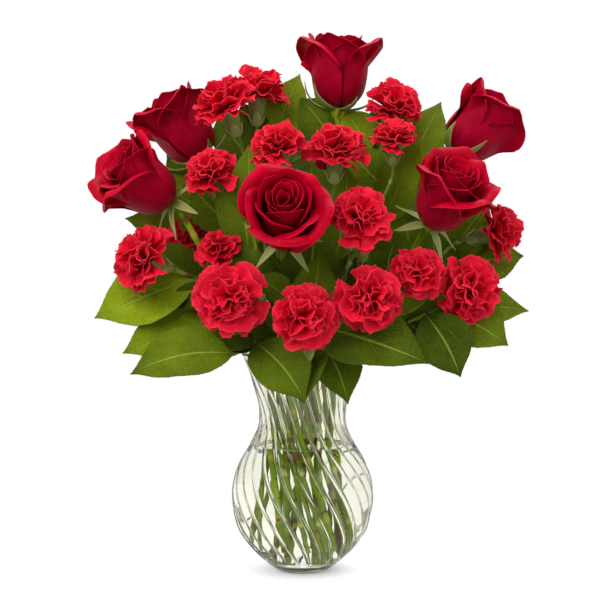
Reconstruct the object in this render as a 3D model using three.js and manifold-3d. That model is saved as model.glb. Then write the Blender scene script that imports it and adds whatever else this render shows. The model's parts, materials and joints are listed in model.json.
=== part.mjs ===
// Six red roses and twenty spray carnations with salal foliage, standing in water in a swirl-ribbed
// glass vase. Millimetres, +Z up. The origin is the centre of the vase's foot, and the front of the
// arrangement faces -Y.
import * as THREE from "three";
import { mergeVertices } from "three/addons/utils/BufferGeometryUtils.js";
import Module from "manifold-3d";

const wasm = await Module();
wasm.setup();

// ---------------------------------------------------------------- driving dimensions

// Vase: outer radius at each height, from the foot to the lip.
const VASE_OUTLINE = [
  [0, 26], [6, 29], [18, 40.5], [36, 52], [64, 56.5], [86, 51],
  [104, 41], [118, 35], [132, 34.5], [154, 40], [178, 49],
];
const VASE_HEIGHT = 178;
const GLASS_WALL = 4.2;
const GLASS_FLOOR = 9;
const RIBS = 24;
const RIB_RELIEF = 1.1; // crests stand out and grooves sink in by this much
const RIB_TURN = THREE.MathUtils.degToRad(105); // how far a rib winds round the vase from lip to foot
const WATER_TOP = 102;
const SEAT_GAP = 0.35; // clearance between pieces that rest on each other
const WATER_CLEARANCE = 1.55; // the glass is faceted, so the water keeps this far inside its nominal wall
const HOLE_CLEARANCE = 0.5; // room round a stem in the water

// Stems: where they stand, by ring. Every stem of a ring leans the same way round, so none crosses
// another.
const NECK_Z = 125;
const STEM_LEAN = THREE.MathUtils.degToRad(70); // turn round the axis between the neck and the cut end
const RINGS = {
  outer: { neck: 24.5, foot: 36, footZ: 22, mouth: 33, mouthZ: 184 },
  inner: { neck: 11, foot: 18, footZ: 13, mouth: 16, mouthZ: 190 },
};
const MOUTH_LEAN = THREE.MathUtils.degToRad(-14); // the turn goes on a little above the neck
const ROSE_STEM = 2.7; // stem radii
const SPRAY_STEM = 2.1;
const SPRAY_BRANCH = 1.3;
const LEAFY_STEM = 1.9;

// Rose head, upright in its own frame with its base at z = 0.
const ROSE_HEIGHT = 60;
const ROSE_PETAL = 0.9; // petal thickness
const ROSE_HEART = 49; // height of the middle, inside the innermost petals
const ROSE_NECK = 26; // the stem runs straight for this far below the hip
const HIP_LENGTH = 11;
const HIP_SINK = 5; // how far the stem reaches into the hip
const SEPAL = 0.8; // sepal thickness
const SEPALS = 5;

// Carnation head, upright in its own frame with the mouth of its calyx at z = 0.
const CARNATION_RADIUS = 26;
const CARNATION_PETAL = 0.8;
const CALYX_LENGTH = 21;
const CALYX_RADIUS = 6.2;
const CALYX_SINK = 5; // how far the stalk reaches into the calyx
const CALYX_LEAD = 14; // the stalk runs straight for this far below the calyx
const THROAT_RADIUS = 4.6; // the petals leave the calyx through this, just above its mouth
const THROAT_HEIGHT = 3.4;
const BUD_STALK = 1; // radius
const BUD_SINK = 12; // the stalk ends this far below a bud's middle

const LEAF_THICKNESS = 0.8;

// ---------------------------------------------------------------- where everything goes

// Roses: centre of the head, the way it faces, how far it has opened (0 to 1), and where its stem
// passes the neck.
const ROSES = [
  {
    name: "rose_top", open: 0.35, ring: "inner", slot: 50,
    at: [30, 25, 400], faces: [0.03, 0.1, 1],
  },
  {
    name: "rose_upper_left", open: 0.3, ring: "inner", slot: 168,
    at: [-102, 25, 362], faces: [-0.57, 0.12, 0.8],
  },
  {
    name: "rose_left", open: 0.7, ring: "outer", slot: 174,
    at: [-132, -45, 321], faces: [-0.7, -0.3, 0.5],
  },
  {
    name: "rose_front", open: 1, ring: "outer", slot: 258,
    at: [-14, -110, 296], faces: [0.02, -0.85, 0.5],
  },
  {
    name: "rose_right", open: 0.7, ring: "outer", slot: 338,
    at: [116, -60, 312], faces: [0.42, -0.5, 0.72],
  },
  {
    name: "rose_upper_right", open: 0.3, ring: "inner", slot: 10,
    at: [145, 25, 358], faces: [0.62, 0.2, 0.72],
  },
];

// Carnation sprays: the joint where the stem forks, and each flower's centre, facing and size.
const SPRAYS = [
  {
    name: "spray_top_left", ring: "inner", slot: 200, fork: [-34, -12, 285],
    flowers: [
      { name: "a", at: [-63, -25, 383], faces: [-0.35, -0.1, 0.93], size: 1 },
      { name: "b", at: [-36, 20, 391], faces: [0.02, 0.1, 1], size: 0.98 },
      { name: "c", at: [-73, -60, 329], faces: [-0.25, -0.45, 0.85], size: 0.86 },
    ],
    buds: [],
  },
  {
    name: "spray_centre", ring: "inner", slot: 268, fork: [2, -32, 270],
    flowers: [
      { name: "a", at: [-19, -60, 350], faces: [-0.12, -0.3, 0.95], size: 0.88 },
      { name: "b", at: [27, -55, 348], faces: [0.08, -0.25, 0.96], size: 0.98 },
    ],
    buds: [],
  },
  {
    name: "spray_top_right", ring: "inner", slot: 305, fork: [42, -28, 262],
    flowers: [
      { name: "a", at: [74, 0, 379], faces: [0.25, -0.3, 0.9], size: 0.94 },
      { name: "b", at: [71, -45, 355], faces: [0.02, -0.3, 0.95], size: 0.68 },
      { name: "c", at: [45, -95, 298], faces: [0.25, -0.65, 0.7], size: 1.02 },
    ],
    buds: [{ at: [47, -72, 268], faces: [0.05, -0.15, 1] }],
  },
  {
    name: "spray_left", ring: "outer", slot: 195, fork: [-55, -30, 225],
    flowers: [
      { name: "a", at: [-129, -78, 262], faces: [-0.75, -0.5, 0.35], size: 1.02 },
      { name: "b", at: [-90, 6, 274], faces: [-0.5, -0.3, 0.8], size: 0.92 },
      { name: "c", at: [-66, -60, 268], faces: [-0.2, -0.6, 0.8], size: 0.66 },
    ],
    buds: [],
  },
  {
    name: "spray_low_left", ring: "outer", slot: 237, fork: [-28, -58, 205],
    flowers: [
      { name: "a", at: [-57, -108, 234], faces: [-0.2, -0.93, 0.25], size: 1.06 },
      { name: "b", at: [0, -126, 220], faces: [0.02, -0.97, 0.15], size: 0.98 },
    ],
    buds: [
      { at: [-32, -96, 229], faces: [0.45, -0.5, 0.7] },
      { at: [5, -108, 190], faces: [0.1, -0.5, -0.85] },
    ],
  },
  {
    name: "spray_low_right", ring: "outer", slot: 300, fork: [38, -56, 208],
    flowers: [
      { name: "a", at: [55, -112, 231], faces: [0.35, -0.9, 0.05], size: 1.06 },
      { name: "b", at: [90, -86, 252], faces: [0.15, -0.8, 0.5], size: 0.78 },
    ],
    buds: [],
  },
  {
    name: "spray_right", ring: "outer", slot: 352, fork: [72, -26, 222],
    flowers: [
      { name: "a", at: [134, -72, 235], faces: [0.6, -0.75, 0.1], size: 1.04 },
      { name: "b", at: [160, -20, 277], faces: [0.85, -0.2, 0.25], size: 0.9 },
    ],
    buds: [],
  },
  {
    name: "spray_back", ring: "outer", slot: 82, fork: [8, 48, 235],
    flowers: [
      { name: "a", at: [-62, 96, 300], faces: [-0.45, 0.75, 0.5], size: 1 },
      { name: "b", at: [22, 112, 318], faces: [0.1, 0.85, 0.5], size: 1 },
      { name: "c", at: [92, 84, 278], faces: [0.6, 0.65, 0.35], size: 0.95 },
    ],
    buds: [],
  },
];

// Salal stems: points that the stem passes through above the vase, and its leaves. A leaf starts on the
// stem at the share `on` of its length, reaches its tip, is `wide` mm across and shows its upper face
// towards `faces`.
const LEAFY = [
  {
    name: "salal_low_left", ring: "outer", slot: 216, through: [[-44, -42, 196], [-62, -50, 214]],
    leaves: [
      { on: 1, tip: [-162, -60, 211], wide: 46, faces: [0.1, -0.8, 0.6] },
      { on: 0.9, tip: [-139, -80, 186], wide: 42, faces: [0, -0.8, 0.6] },
      { on: 0.8, tip: [-132, -98, 172], wide: 40, faces: [0.1, -0.75, 0.65] },
    ],
  },
  {
    name: "salal_low_front", ring: "outer", slot: 279, through: [[6, -50, 196], [10, -66, 206]],
    leaves: [
      { on: 0.86, tip: [1, -104, 150], wide: 48, faces: [-0.3, -0.85, 0.4] },
      { on: 0.93, tip: [35, -92, 148], wide: 38, faces: [0.3, -0.9, 0.35] },
      { on: 1, tip: [96, -112, 182], wide: 46, faces: [0, -0.75, 0.65] },
      { on: 0.9, tip: [14, -64, 264], wide: 34, faces: [0, -0.95, 0.3] },
    ],
  },
  {
    name: "salal_low_right", ring: "outer", slot: 320, through: [[62, -44, 200], [88, -42, 209]],
    leaves: [
      { on: 0.85, tip: [122, -84, 168], wide: 38, faces: [-0.1, -0.9, 0.4] },
      { on: 0.93, tip: [160, -64, 190], wide: 42, faces: [0, -0.75, 0.65] },
      { on: 1, tip: [178, -36, 214], wide: 40, faces: [0, -0.8, 0.6] },
      { on: 0.96, tip: [86, -46, 262], wide: 34, faces: [0, -0.95, 0.3] },
    ],
  },
  {
    name: "salal_left", ring: "outer", slot: 150, through: [[-52, 34, 215], [-92, 50, 248]],
    leaves: [
      { on: 1, tip: [-142, 8, 284], wide: 40, faces: [-0.1, -0.8, 0.6] },
      { on: 0.88, tip: [-150, 42, 232], wide: 42, faces: [-0.3, -0.2, 0.9] },
      { on: 0.94, tip: [-116, 84, 286], wide: 40, faces: [-0.3, 0.7, 0.6] },
    ],
  },
  {
    name: "salal_front_left", ring: "inner", slot: 234, through: [[-30, -50, 235], [-40, -62, 290]],
    leaves: [
      { on: 0.97, tip: [-42, -62, 346], wide: 26, faces: [-0.3, -0.9, 0.3] },
      { on: 0.82, tip: [-64, -74, 238], wide: 32, faces: [-0.2, -0.85, 0.5] },
    ],
  },
  {
    name: "salal_top_left", ring: "inner", slot: 128, through: [[-28, 18, 280], [-20, 28, 330]],
    leaves: [
      { on: 1, tip: [-2, 52, 398], wide: 32, faces: [-0.1, -0.95, 0.2] },
      { on: 0.92, tip: [-64, 54, 354], wide: 36, faces: [-0.3, -0.5, 0.8] },
      { on: 0.8, tip: [-46, 74, 340], wide: 40, faces: [-0.3, 0.8, 0.5] },
      { on: 0.85, tip: [12, 76, 366], wide: 38, faces: [0.1, 0.9, 0.4] },
    ],
  },
  {
    name: "salal_top_right", ring: "inner", slot: 340, through: [[52, 8, 262], [80, 6, 302]],
    leaves: [
      { on: 1, tip: [112, 36, 376], wide: 34, faces: [-0.1, -0.9, 0.4] },
      { on: 0.92, tip: [94, -34, 352], wide: 30, faces: [-0.1, -0.9, 0.4] },
      { on: 0.9, tip: [104, 66, 330], wide: 38, faces: [0.4, 0.8, 0.5] },
    ],
  },
  {
    name: "salal_right", ring: "outer", slot: 14, through: [[70, 10, 215], [118, 0, 240]],
    leaves: [
      { on: 1, tip: [177, 4, 254], wide: 40, faces: [0, -0.8, 0.6] },
      { on: 0.9, tip: [118, 14, 286], wide: 34, faces: [0, -0.95, 0.3] },
      { on: 0.85, tip: [140, 52, 276], wide: 40, faces: [0.3, 0.3, 0.9] },
      { on: 0.8, tip: [150, 52, 210], wide: 42, faces: [0.4, 0.4, 0.8] },
    ],
  },
  {
    name: "salal_back_right", ring: "outer", slot: 48, through: [[44, 42, 205], [58, 70, 240]],
    leaves: [
      { on: 1, tip: [78, 134, 244], wide: 42, faces: [0.3, 0.6, 0.8] },
      { on: 0.82, tip: [112, 96, 198], wide: 44, faces: [0.4, 0.5, 0.75] },
      { on: 0.75, tip: [30, 110, 178], wide: 44, faces: [0.1, 0.7, 0.7] },
      { on: 0.9, tip: [10, 120, 250], wide: 40, faces: [0, 0.8, 0.6] },
    ],
  },
  {
    name: "salal_back_left", ring: "outer", slot: 116, through: [[-40, 42, 205], [-56, 66, 235]],
    leaves: [
      { on: 1, tip: [-96, 122, 238], wide: 42, faces: [-0.3, 0.7, 0.7] },
      { on: 0.85, tip: [-122, 80, 196], wide: 44, faces: [-0.4, 0.4, 0.8] },
      { on: 0.75, tip: [-36, 108, 172], wide: 42, faces: [-0.1, 0.7, 0.7] },
    ],
  },
];

// ---------------------------------------------------------------- materials

const material = (color, roughness, more = {}) =>
  new THREE.MeshStandardMaterial({ color, roughness, metalness: 0, ...more });

const GLASS = material(0xeef4ee, 0.05, { transparent: true, opacity: 0.35 });
const WATER = material(0xe6f0e4, 0.02, { transparent: true, opacity: 0.3 });
const ROSE_RED = material(0x9c0722, 0.6);
const ROSE_GREEN = material(0x6f8a3c, 0.6);
const CARNATION_RED = material(0xd21f2c, 0.65);
const CARNATION_GREEN = material(0x8a9a6a, 0.6);
const LEAF_GREEN = material(0x5c7d1e, 0.4);

// ---------------------------------------------------------------- solids

const point = (list) => new THREE.Vector3(...list);

// The point at a radius and an angle round Z.
function around(radius, angle, z) {
  return new THREE.Vector3(radius * Math.cos(angle), radius * Math.sin(angle), z);
}

// A seeded source of numbers from 0 to 1, so that every build is the same.
function seeded(seed) {
  let state = seed;
  return () => {
    state = (state * 1664525 + 1013904223) % 4294967296;
    return state / 4294967296;
  };
}

function seedFrom(name) {
  return [...name].reduce((sum, letter) => (sum * 31 + letter.charCodeAt(0)) % 65521, 7);
}

// A closed geometry as a solid: vertices in the same place become one, and triangles that this
// collapses are dropped.
function solidOf(geometry) {
  const bare = geometry.clone();
  bare.deleteAttribute("normal");
  bare.deleteAttribute("uv");
  const merged = mergeVertices(bare, 1e-3);
  const kept = [];
  for (let i = 0; i < merged.index.count; i += 3) {
    const [a, b, c] = [0, 1, 2].map((k) => merged.index.getX(i + k));
    if (a !== b && b !== c && c !== a) kept.push(a, b, c);
  }
  const mesh = new wasm.Mesh({
    numProp: 3,
    vertProperties: new Float32Array(merged.attributes.position.array),
    triVerts: new Uint32Array(kept),
  });
  return new wasm.Manifold(mesh);
}

function geometryOf(solid) {
  const mesh = solid.getMesh();
  const geometry = new THREE.BufferGeometry();
  geometry.setAttribute("position", new THREE.BufferAttribute(new Float32Array(mesh.vertProperties), 3));
  geometry.setIndex(new THREE.BufferAttribute(new Uint32Array(mesh.triVerts), 1));
  geometry.computeVertexNormals();
  return geometry;
}

const fuse = (solids) => solids.reduce((whole, next) => whole.add(next));

// A thin closed blade over a grid of points. rows run from root to tip, and each holds the same number
// of points; the first and the last may close to one point. Both faces are split along the same
// diagonals, so a waved blade doesn't cross itself.
function blade(rows, thickness) {
  const [lastRow, lastColumn] = [rows.length - 1, rows[0].length - 1];
  const within = (i, most) => Math.min(Math.max(i, 0), most);
  const closed = (r) => rows[r][0].distanceTo(rows[r][lastColumn]) < 1e-6;
  const normalAt = (r, c) => {
    // A closed row takes its direction across from its neighbour.
    const row = closed(r) ? within(r, lastRow - 1) || 1 : r;
    const left = closed(r) ? 0 : within(c - 1, lastColumn);
    const right = closed(r) ? lastColumn : within(c + 1, lastColumn);
    const across = rows[row][right].clone().sub(rows[row][left]);
    const column = closed(r) ? Math.round(lastColumn / 2) : c;
    const along = rows[within(r + 1, lastRow)][column].clone().sub(rows[within(r - 1, lastRow)][column]);
    return across.cross(along).normalize();
  };
  const front = [];
  const back = [];
  rows.forEach((row, r) =>
    row.forEach((p, c) => {
      const half = normalAt(r, c).multiplyScalar(thickness / 2);
      front.push(p.clone().add(half));
      back.push(p.clone().sub(half));
    }),
  );
  const id = (r, c) => r * (lastColumn + 1) + c;
  const triangles = [];
  for (let r = 0; r < lastRow; r++) {
    for (let c = 0; c < lastColumn; c++) {
      const [a, b, d, e] = [id(r, c), id(r, c + 1), id(r + 1, c + 1), id(r + 1, c)];
      triangles.push([front[a], front[b], front[d]], [front[a], front[d], front[e]]);
      triangles.push([back[a], back[d], back[b]], [back[a], back[e], back[d]]);
    }
  }
  const rim = [];
  for (let c = 0; c < lastColumn; c++) rim.push(id(0, c));
  for (let r = 0; r < lastRow; r++) rim.push(id(r, lastColumn));
  for (let c = lastColumn; c > 0; c--) rim.push(id(lastRow, c));
  for (let r = lastRow; r > 0; r--) rim.push(id(r, 0));
  rim.forEach((a, i) => {
    const b = rim[(i + 1) % rim.length];
    triangles.push([back[a], back[b], front[b]], [back[a], front[b], front[a]]);
  });
  return solidOf(new THREE.BufferGeometry().setFromPoints(triangles.flat()));
}

// A solid of revolution about Z from [height, radius] pairs that start and end on the axis.
function turned(profile, sides) {
  const points = profile.map(([height, radius]) => new THREE.Vector2(radius, height));
  return solidOf(new THREE.LatheGeometry(points, sides).rotateX(Math.PI / 2));
}

// A closed solid round an axis: a first point, rings of equally many points, and a last point. Points
// of a ring may lie in one place, where a ring needs fewer.
function ringed(first, rings, last) {
  const triangles = [];
  const columns = rings[0].length;
  for (let i = 0; i < columns; i++) {
    const next = (i + 1) % columns;
    triangles.push([first, rings[0][next], rings[0][i]], [last, rings.at(-1)[i], rings.at(-1)[next]]);
    for (let r = 0; r + 1 < rings.length; r++) {
      const [low, high] = [rings[r], rings[r + 1]];
      triangles.push([low[i], low[next], high[next]], [low[i], high[next], high[i]]);
    }
  }
  return solidOf(new THREE.BufferGeometry().setFromPoints(triangles.flat()));
}

// A round stem along a curve.
function stem(curve, radius, sides, steps) {
  const section = new THREE.Shape();
  for (let i = 0; i < sides; i++) {
    const angle = (i / sides) * 2 * Math.PI;
    const [x, y] = [radius * Math.cos(angle), radius * Math.sin(angle)];
    if (i) section.lineTo(x, y);
    else section.moveTo(x, y);
  }
  return solidOf(new THREE.ExtrudeGeometry(section, { steps, bevelEnabled: false, extrudePath: curve }));
}

const curveThrough = (points) => new THREE.CatmullRomCurve3(points, false, "centripetal");

// The matrix that stands a piece made upright at the origin at a place, facing a direction.
function standing(at, facing) {
  const turn = new THREE.Quaternion().setFromUnitVectors(new THREE.Vector3(0, 0, 1), facing);
  return new THREE.Matrix4().compose(at, turn, new THREE.Vector3(1, 1, 1));
}

const placed = (solid, matrix) => solid.transform(matrix.elements);

// ---------------------------------------------------------------- vase and water

// The vase's outer radius at a height, on a smooth curve through its outline.
const outline = new THREE.CatmullRomCurve3(VASE_OUTLINE.map(([z, r]) => new THREE.Vector3(r, 0, z)));

function outlineAt(heights) {
  const fine = outline.getPoints(400);
  return heights.map((z) => {
    const above = fine.findIndex((p) => p.z >= z);
    const [a, b] = [fine[Math.max(above - 1, 0)], fine[above < 0 ? fine.length - 1 : above]];
    const share = b.z > a.z ? (z - a.z) / (b.z - a.z) : 0;
    return [z, a.x + (b.x - a.x) * share];
  });
}

const INNER_HEIGHTS = [GLASS_FLOOR, 20, 42, 66, 90, 108, 130, 154];
const OUTER_HEIGHTS = [0, 5, 20, 42, 66, 90, 110, 130, 152, 172, VASE_HEIGHT];

// The inside of the glass as [height, radius], moved inwards by a clearance.
function innerProfile(clearance, top) {
  return outlineAt(INNER_HEIGHTS.filter((z) => z < top)).map(([z, r]) => [z, r - GLASS_WALL - clearance]);
}

// Ribs wind round the outside. The mesh turns with them, so each crest and each groove is one line of
// vertices. The smooth inside has half as many.
function makeVase() {
  const ring = (z, radius, relief, shared) =>
    Array.from({ length: RIBS * 2 }, (_, i) => {
      const column = shared ? i - (i % 2) + 0.5 : i;
      const angle = (column / (RIBS * 2)) * 2 * Math.PI - RIB_TURN * (z / VASE_HEIGHT);
      return around(radius + (i % 2 ? -relief : relief), angle, z);
    });
  const outside = outlineAt(OUTER_HEIGHTS).map(([z, r], i) => {
    const plain = i < 2 || i > OUTER_HEIGHTS.length - 3;
    return ring(z, r, plain ? 0 : RIB_RELIEF, false);
  });
  const [[, lipRadius]] = outlineAt([VASE_HEIGHT]);
  const lip = ring(VASE_HEIGHT, lipRadius - GLASS_WALL, 0, true);
  const inside = innerProfile(0, VASE_HEIGHT).reverse().map(([z, r]) => ring(z, r, 0, true));
  return ringed(new THREE.Vector3(), [...outside, lip, ...inside], new THREE.Vector3(0, 0, GLASS_FLOOR));
}

// Water fills the vase to WATER_TOP, with a plain hole round each stem that stands in it.
function makeWater(stems) {
  const [bottom, ...walls] = innerProfile(WATER_CLEARANCE, WATER_TOP);
  const [[, outerRadius]] = outlineAt([WATER_TOP]);
  const bottomZ = GLASS_FLOOR + SEAT_GAP;
  const surface = [WATER_TOP, outerRadius - GLASS_WALL - WATER_CLEARANCE];
  const body = turned([[bottomZ, 0], [bottomZ, bottom[1]], ...walls, surface, [WATER_TOP, 0]], RIBS);
  return stems.reduce((water, hole) => water.subtract(hole), body);
}

// ---------------------------------------------------------------- stems

// The part of a stem inside the vase: cut end, neck and mouth.
function standingPoints({ ring, slot }) {
  const { neck, foot, footZ, mouth, mouthZ } = RINGS[ring];
  const angle = THREE.MathUtils.degToRad(slot);
  const cutEnd = around(foot, angle + STEM_LEAN, footZ);
  return [cutEnd, around(neck, angle, NECK_Z), around(mouth, angle + MOUTH_LEAN, mouthZ)];
}

const STEM_STEPS = 7; // straight runs from the cut end to the head
const holes = [];

// A stem that stands in the vase, and the hole that it needs in the water.
function vaseStem(row, onwards, radius, sides) {
  const curve = curveThrough([...standingPoints(row), ...onwards]);
  holes.push(stem(curve, radius + HOLE_CLEARANCE, sides, STEM_STEPS));
  return { joints: curve.getSpacedPoints(STEM_STEPS), solid: stem(curve, radius, sides, STEM_STEPS) };
}

// The place at a share of a stem's length, on the straight runs between its joints.
function alongStem(joints, share) {
  const whole = Math.min(Math.floor(share * STEM_STEPS), STEM_STEPS - 1);
  return joints[whole].clone().lerp(joints[whole + 1], share * STEM_STEPS - whole);
}

// ---------------------------------------------------------------- roses

// Petal layers from the outside in. Each wraps the next as a cup of overlapping petals: radius and
// height of its belly, shoulder and rim, how far a petal's outer edge stands off its neighbour, and how
// deep the cup is inside.
const ROSE_PETALS = 5; // petals of a layer
const PETAL_COLUMNS = 4; // columns of points across a petal
const ROSE_LAYERS = [
  { rings: [[24, 17], [29, 33]], rim: [31, 50], lap: 2.2, well: [21, 38] },
  { rings: [], rim: [22, 57], lap: 1.8, well: [13, 47] },
  { rings: [], rim: [12.5, 58], lap: 1.4, well: [5, 50] },
];

const PETAL_SHARE = 0.93; // of the way round that a layer's petals cover, between the steps

// One ring of a layer. The petals lie one over the next like a wound spiral, so the radius steps back
// between them. wave lifts the middle of each petal, and curl carries it outwards. A ring with no lap
// has two points to a petal.
function petalRing(radius, z, turn, lap = 0, wave = 0, curl = 0) {
  const columns = ROSE_PETALS * PETAL_COLUMNS;
  return Array.from({ length: columns }, (_, i) => {
    const column = i % PETAL_COLUMNS;
    const across = lap ? column / (PETAL_COLUMNS - 1) - 0.5 : Math.sign(column - 1.5) * 0.37;
    const petal = Math.floor(i / PETAL_COLUMNS) + 0.5 + across * PETAL_SHARE;
    const middle = 1 - 4 * across * across;
    const angle = turn + (petal / ROSE_PETALS) * 2 * Math.PI;
    return around(radius + 2 * across * lap + curl * middle, angle, z + wave * middle);
  });
}

// Where the base of a rose's head is, and the matrix that stands the head and the hip there.
function rosePlace(row) {
  const facing = point(row.faces).normalize();
  const base = point(row.at).addScaledVector(facing, -ROSE_HEIGHT / 2);
  return { facing, base, matrix: standing(base, facing) };
}

// The head is one wound body: it goes up the outside of each layer, over its rim and down to the well
// inside. An open rose's outer petals roll out and sink.
function makeRoseHead(row) {
  const random = seeded(seedFrom(row.name));
  const rings = [petalRing(7, 1.5, 0)];
  ROSE_LAYERS.forEach((layer, depth) => {
    const turn = depth * 0.4 + random() * 0.15;
    const wave = 4 + 2 * random();
    const curl = depth ? 0.5 : 1.5 + 3 * row.open;
    const radius = layer.rim[0] * (1 + (depth ? 0.1 : 0.14) * row.open);
    const height = layer.rim[1] - (depth ? 1.2 : 4) * row.open;
    const inner = turn - (1.3 * ROSE_PETAL) / radius; // turned back a little, to keep lapped edges thick
    layer.rings.forEach(([low, z]) => rings.push(petalRing(low, z, turn, layer.lap * 0.7)));
    rings.push(petalRing(radius, height, turn, layer.lap, wave, curl));
    rings.push(petalRing(radius - ROSE_PETAL, height + 0.4, inner, layer.lap, wave, curl));
    rings.push(petalRing(layer.well[0], layer.well[1], turn + 0.2));
  });
  return ringed(new THREE.Vector3(), rings, new THREE.Vector3(0, 0, ROSE_HEART));
}

// The hip is the swelling under the head that carries the sepals.
function roseHip() {
  const swelling = [[-HIP_LENGTH, ROSE_STEM], [-4, 6.5], [-SEAT_GAP, 6]];
  return turned([[-HIP_LENGTH - 2, 0], ...swelling, [-SEAT_GAP, 0]], 7);
}

// A sepal curls back from under the petals: reflex is 0 where it hugs them and 1 where it hangs.
function sepal(heading, reflex) {
  const across = (radius, z, half) =>
    [-half, half].map((side) => around(radius, heading, z).add(around(side, heading + Math.PI / 2, 0)));
  const tip = across(31, -5 - reflex * 18, 0);
  return blade([across(4, -3.5, 2), across(17, -5 - reflex * 5, 3.2), tip], SEPAL);
}

function makeRoseStem(row) {
  const random = seeded(seedFrom(row.name) + 1);
  const { facing, base, matrix } = rosePlace(row);
  const bend = base.clone().addScaledVector(facing, -HIP_LENGTH - ROSE_NECK);
  const top = base.clone().addScaledVector(facing, HIP_SINK - HIP_LENGTH);
  const { solid } = vaseStem(row, [bend, top], ROSE_STEM, 5);
  const sepals = Array.from({ length: SEPALS }, (_, i) => {
    const heading = (i / SEPALS) * 2 * Math.PI + random() * 0.4;
    return sepal(heading, 0.25 + 0.6 * random());
  });
  return fuse([solid, placed(fuse([roseHip(), ...sepals]), matrix)]);
}

// ---------------------------------------------------------------- carnations

// Petal tiers from the outside in, as shares of the head's radius: radius and height of the toothed
// edge, of the fold inside it, how steeply the petals stand, and which points of a petal's edge lie in
// one place.
const CARNATION_PETALS = 5; // petals of a tier
const PETAL_ANGLE = (2 * Math.PI) / CARNATION_PETALS;
const TEETH = [0.8, 1, 0.92, 1.02]; // reach of the points on a petal's edge, with the cleft beside it first
const RUFFLE = [-0.05, 0.09, -0.08, 0.09]; // how the same points rise and fall
const CARNATION_TIERS = [
  { edge: [1, 0.32], fold: [0.5, 0.4], steep: 0.25, turn: 0, same: [0, 1, 2, 3] },
  { edge: [0.84, 0.8], fold: [0.4, 0.78], steep: 0.7, turn: 0.63, same: [0, 1, 2, 2] },
  { edge: [0.52, 1.16], fold: [0.14, 0.96], steep: 1.1, turn: 0.3, same: [0, 1, 1, 1] },
];

// The head is one ruffled body: it goes out along the underside of each tier, round its edge, and back
// to the fold.
function makeCarnationHead(flower) {
  const random = seeded(seedFrom(flower.key));
  const size = CARNATION_RADIUS * flower.size;
  const perPetal = TEETH.length;
  const columns = Array.from({ length: CARNATION_PETALS * perPetal }, (_, i) => i);
  const pentagon = (radius, z, turn) =>
    columns.map((i) => around(radius, turn + (Math.floor(i / perPetal) + 0.5) * PETAL_ANGLE, z));
  const rings = [pentagon(THROAT_RADIUS, THROAT_HEIGHT, 0)];
  CARNATION_TIERS.forEach(({ edge, fold, steep, turn, same }) => {
    const drawn = columns.map((i) => {
      const tooth = i % perPetal;
      return {
        radius: size * edge[0] * TEETH[tooth] * (0.94 + 0.12 * random()),
        z: size * (edge[1] + RUFFLE[tooth] + 0.05 * random()),
        angle: turn + ((i + 0.5 * (random() - 0.5)) / perPetal) * PETAL_ANGLE,
      };
    });
    const points = columns.map((i) => drawn[i - (i % perPetal) + same[i % perPetal]]);
    const inward = CARNATION_PETAL * Math.sin(steep);
    const upward = CARNATION_PETAL * Math.cos(steep);
    rings.push(points.map(({ radius, z, angle }) => around(radius, angle, z)));
    rings.push(points.map(({ radius, z, angle }) => around(radius - inward, angle, z + upward)));
    rings.push(pentagon(size * fold[0], size * fold[1], turn));
  });
  return ringed(new THREE.Vector3(0, 0, -0.6), rings, new THREE.Vector3(0, 0, size * 0.92));
}

// A calyx is a narrow cup whose mouth has five teeth and sinks to a point in the middle.
const CALYX_TEETH = 5;

function calyx(scale) {
  const columns = Array.from({ length: CALYX_TEETH * 2 }, (_, i) => i);
  const ring = (radius, z) => columns.map((i) => around(radius, ((i - (i % 2)) / CALYX_TEETH) * Math.PI, z));
  const mouth = columns.map((i) => around(CALYX_RADIUS, (i / CALYX_TEETH) * Math.PI, i % 2 ? -0.5 : 2.6));
  const foot = new THREE.Vector3(0, 0, -CALYX_LENGTH);
  const well = new THREE.Vector3(0, 0, -1.6);
  const cup = ringed(foot, [ring(3.8, 3 - CALYX_LENGTH), ring(5.4, -6), mouth], well);
  return placed(cup, new THREE.Matrix4().makeScale(scale, scale, scale));
}

// A closed bud, on its own short stalk.
const bud = () => turned([[-13, 0], [-10, 4], [-1, 4.8], [7, 0]], 6);

// Where the stalk leads up to a flower's calyx and ends in it, and the matrix that stands the calyx and
// the head. The calyx of a small flower is small too, though less so.
function flowerPlace(flower) {
  const scale = 0.55 + 0.45 * flower.size;
  const facing = point(flower.faces).normalize();
  const mouth = point(flower.at).addScaledVector(facing, (-CARNATION_RADIUS * flower.size) / 2);
  const end = mouth.clone().addScaledVector(facing, (CALYX_SINK - CALYX_LENGTH) * scale);
  const lead = end.clone().addScaledVector(facing, -CALYX_LEAD);
  return { scale, lead, end, matrix: standing(mouth, facing) };
}

const branch = (from, { lead, end }, radius) => stem(curveThrough([from, lead, end]), radius, 4, 3);

// The main stem leads to the first flower, and a branch for each other flower and bud leaves it at the
// fork.
function makeSpray(row) {
  const fork = point(row.fork);
  const [first, ...others] = row.flowers.map(flowerPlace);
  const { joints, solid } = vaseStem(row, [fork, first.lead, first.end], SPRAY_STEM, 4);
  const [start] = [...joints].sort((a, b) => a.distanceTo(fork) - b.distanceTo(fork));
  const parts = [solid, placed(calyx(first.scale), first.matrix)];
  others.forEach((place) => {
    parts.push(branch(start, place, SPRAY_BRANCH), placed(calyx(place.scale), place.matrix));
  });
  row.buds.forEach(({ at, faces }) => {
    const facing = point(faces).normalize();
    const end = point(at).addScaledVector(facing, -BUD_SINK);
    const lead = end.clone().addScaledVector(facing, -CALYX_LEAD);
    parts.push(branch(start, { lead, end }, BUD_STALK), placed(bud(), standing(point(at), facing)));
  });
  return fuse(parts);
}

// ---------------------------------------------------------------- foliage

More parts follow.
